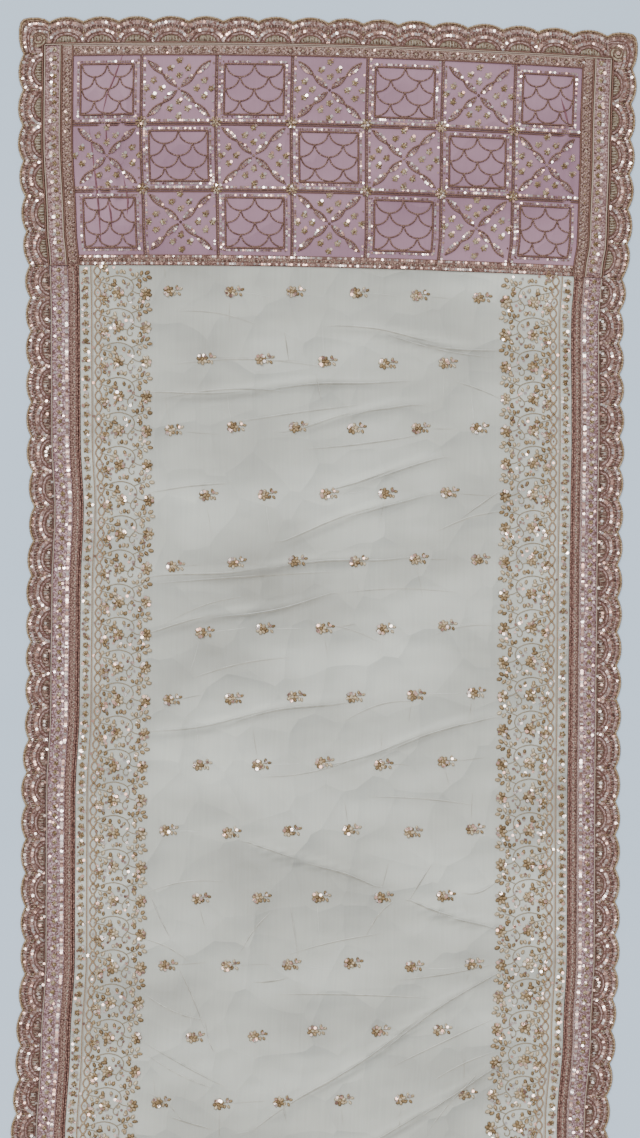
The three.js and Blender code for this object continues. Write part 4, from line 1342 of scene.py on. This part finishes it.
# Each fold gets a darker cord, partly denser net and partly painted shade, and beside it a pale cord of
# painted highlight.
for at, side, half, slope, high, foot in NET_FOLDS:
    for low, top, offset in ((-1.15, dice.uniform(-0.3, 0.4), -2.5), (dice.uniform(-0.4, 0.1), 1.15, 4.0)):
        across = side + half * np.linspace(low, top, 22)
        crest = at + slope * np.clip(across - side, -half, half)
        along = crest + offset + fold_wobble(across, at) + wander(22, 1.3)
        crease_line("field", across, along, dice.uniform(0.4, 0.75), CREASE_DENSE_AND_SHADED)
        crease_line("field", across, along - dice.uniform(2, 3), dice.uniform(0.3, 0.6), CREASE_HIGHLIGHT)
# The finer creases get the same pair: a darker cord with painted shade and a pale cord of painted highlight.
for x0, y0, x1, y1, high, foot in CREASES:
    share = np.linspace(0, 1, 14)
    bow = dice.uniform(-14, 14) * np.sin(math.pi * share)
    across, along = x0 + (x1 - x0) * share, y0 + (y1 - y0) * share + bow + wander(14, 1.4)
    crease_line("field", across, along, dice.uniform(0.35, 0.65), CREASE_DENSE_AND_SHADED)
    crease_line("field", across, along - dice.uniform(1.6, 2.6), dice.uniform(0.25, 0.5), CREASE_HIGHLIGHT)
# A sprig's pucker is drawn as one cord, either the darker one with painted shade or the pale painted
# highlight.
for across, along in sprig_places:  # the stitches of a sprig pucker the net beside and below it
    if dice.random() < 0.5:
        run = np.linspace(22, 22 + dice.uniform(35, 75), 8)
        sideways = dice.uniform(-0.12, 0.12) * run + wander(8, 1.2)
        radius = dice.uniform(0.25, 0.5)
        crease_line("field", across + run, along + sideways, radius, dice.choice((CREASE_DENSE_AND_SHADED, CREASE_HIGHLIGHT)))
    if dice.random() < 0.45:
        run = dice.choice((-1, 1)) * np.linspace(14, 14 + dice.uniform(30, 70), 8)
        sideways = dice.uniform(-0.3, 0.3) * run + wander(8, 1.2)
        radius = dice.uniform(0.2, 0.45)
        crease_line("field", across + sideways, along + run, radius, dice.choice((CREASE_DENSE_AND_SHADED, CREASE_HIGHLIGHT)))
PALLU_CREASES = [  # across, along
    [(-366, 56), (-380, 95), (-390, 122), (-400, 146), (-411, 198)],
    [(-433, 203), (-427, 250), (-422, 317), (-419, 400), (-418, 452)],
    [(-402, 205), (-399, 251)], [(-403, 340), (-396, 405)],
    [(424, 132), (434, 160), (447, 206)], [(-372, 300), (-366, 350), (-369, 380)]]
# The mauve net's creases are dark maroon cords, partly denser net and partly painted shade.
for line in PALLU_CREASES:
    share = np.linspace(0, len(line) - 1, 14)
    xs, ys = [np.interp(share, range(len(line)), column) for column in zip(*line)]
    crease_line("pallu", xs + wander(14, 1.5), ys, 1.7, MAROON)

# %% [markdown]
# ## Set the trays
# Each tray's cloth coordinates become places on the floor, lifted onto the net where it rises over a
# fold. Beads on a slope lean with it, which is what makes a fold show in the sequins.


# %% Set every tray and cord
def set_tray(zone, kind, rows):
    table = np.array(rows, float)
    across, along, lift, turn, tip, roll = table[:, 0:6].T
    base = ridge_height(across, along)
    slope_across = ridge_height(across + 2, along) - base
    slope_along = ridge_height(across, along + 2) - base
    places = lay(across, along, base + ON_NET + lift)
    lean_across, lean_along = -np.arctan2(slope_across, 2) + tip, -np.arctan2(slope_along, 2) + roll
    turns = np.stack([lean_along * np.cos(turn) + lean_across * np.sin(turn),
                      lean_across * np.cos(turn) - lean_along * np.sin(turn), turn], -1)
    name = f"{zone}_sequins" if kind == "sequin" else f"{zone}_{kind}_beads"
    scatter(name, shapes[kind], np.hstack([places, turns, table[:, 6:9] / 1000, table[:, 9:10]]),
            "lace" if kind == "copper" else "braid")


for (zone, kind), rows in sorted(trays.items()):
    set_tray(zone, kind, rows)
for zone, paths in sorted(thread_paths.items()):
    cords(f"{zone}_cords", paths, THREADS, "lace")

# %% [markdown]
# ## Floor and light
# The cloth lies on a pale floor. One broad lamp from the upper left shows the ridges, the pale room fills
# the shadows, and a few weak lamps nearly overhead are there for the sequins: each is a small mirror that
# flashes where its tilt throws a lamp up at the viewer. Sun lamps light five metres of cloth evenly.

# %% Floor
floor_shape = bmesh.new()
bmesh.ops.create_grid(floor_shape, x_segments=2, y_segments=2, size=15.0)
floor_mesh = bpy.data.meshes.new("floor")
floor_shape.to_mesh(floor_mesh)
floor_shape.free()
floor_material, tree, shader = new_material("pale floor", 0.5)
floor_colour = colour_ramp(tree, noise(tree, 1.2, 3.0), [(0.3, (193, 213, 233)), (0.7, (204, 222, 241))])
tree.links.new(floor_colour, shader.inputs["Base Color"])
floor_mesh.materials.append(floor_material)
floor = link("floor", floor_mesh)
floor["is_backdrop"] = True


# %% Lamps
def lamp(name, power, spread, lean, bearing):
    """lean is the angle from straight overhead and bearing the side it shines from, both in degrees."""
    data = bpy.data.lights.new(name, "SUN")
    data.energy = power
    data.angle = math.radians(spread)
    item = link(name, data)
    item.rotation_euler = (math.radians(lean), 0, math.radians(bearing))


lamp("window lamp", 1.6, 20, 56, 205)
lamp("soft lamp overhead", 0.35, 40, 7, 40)
for k, (lean, bearing) in enumerate(((16, 20), (22, 95), (20, 250), (30, 150), (34, 320))):
    lamp(f"sequin lamp {k}", 0.34, 13, lean, bearing)
world = bpy.data.worlds.new("soft room")
world.use_nodes = True
room = world.node_tree.nodes["Background"].inputs
room["Color"].default_value = srgb(238, 241, 246)
room["Strength"].default_value = 0.62
bpy.context.scene.world = world

# %% [markdown]
# Every sheet keeps the size it was cut to, and here what it rests on is worked out. The laces are cut
# as straight strips with scalloped edges, so they keep their share of that area too.

# %% Work out what each sheet rests on, and the box of the whole scene
for name, (piece, width, length, share) in cuts.items():
    rests = "floor" if "lace" in name or "fan" in name or piece in (net_cloth, pallu_cloth) else net_cloth
    if "pallu" in name and rests is net_cloth:
        rests = pallu_cloth

low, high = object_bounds()
print("visual box", [round(v, 4) for v in (high - low)])
{"cad": [list(cad_low), list(cad_high)], "visual": [list(low), list(high)]}
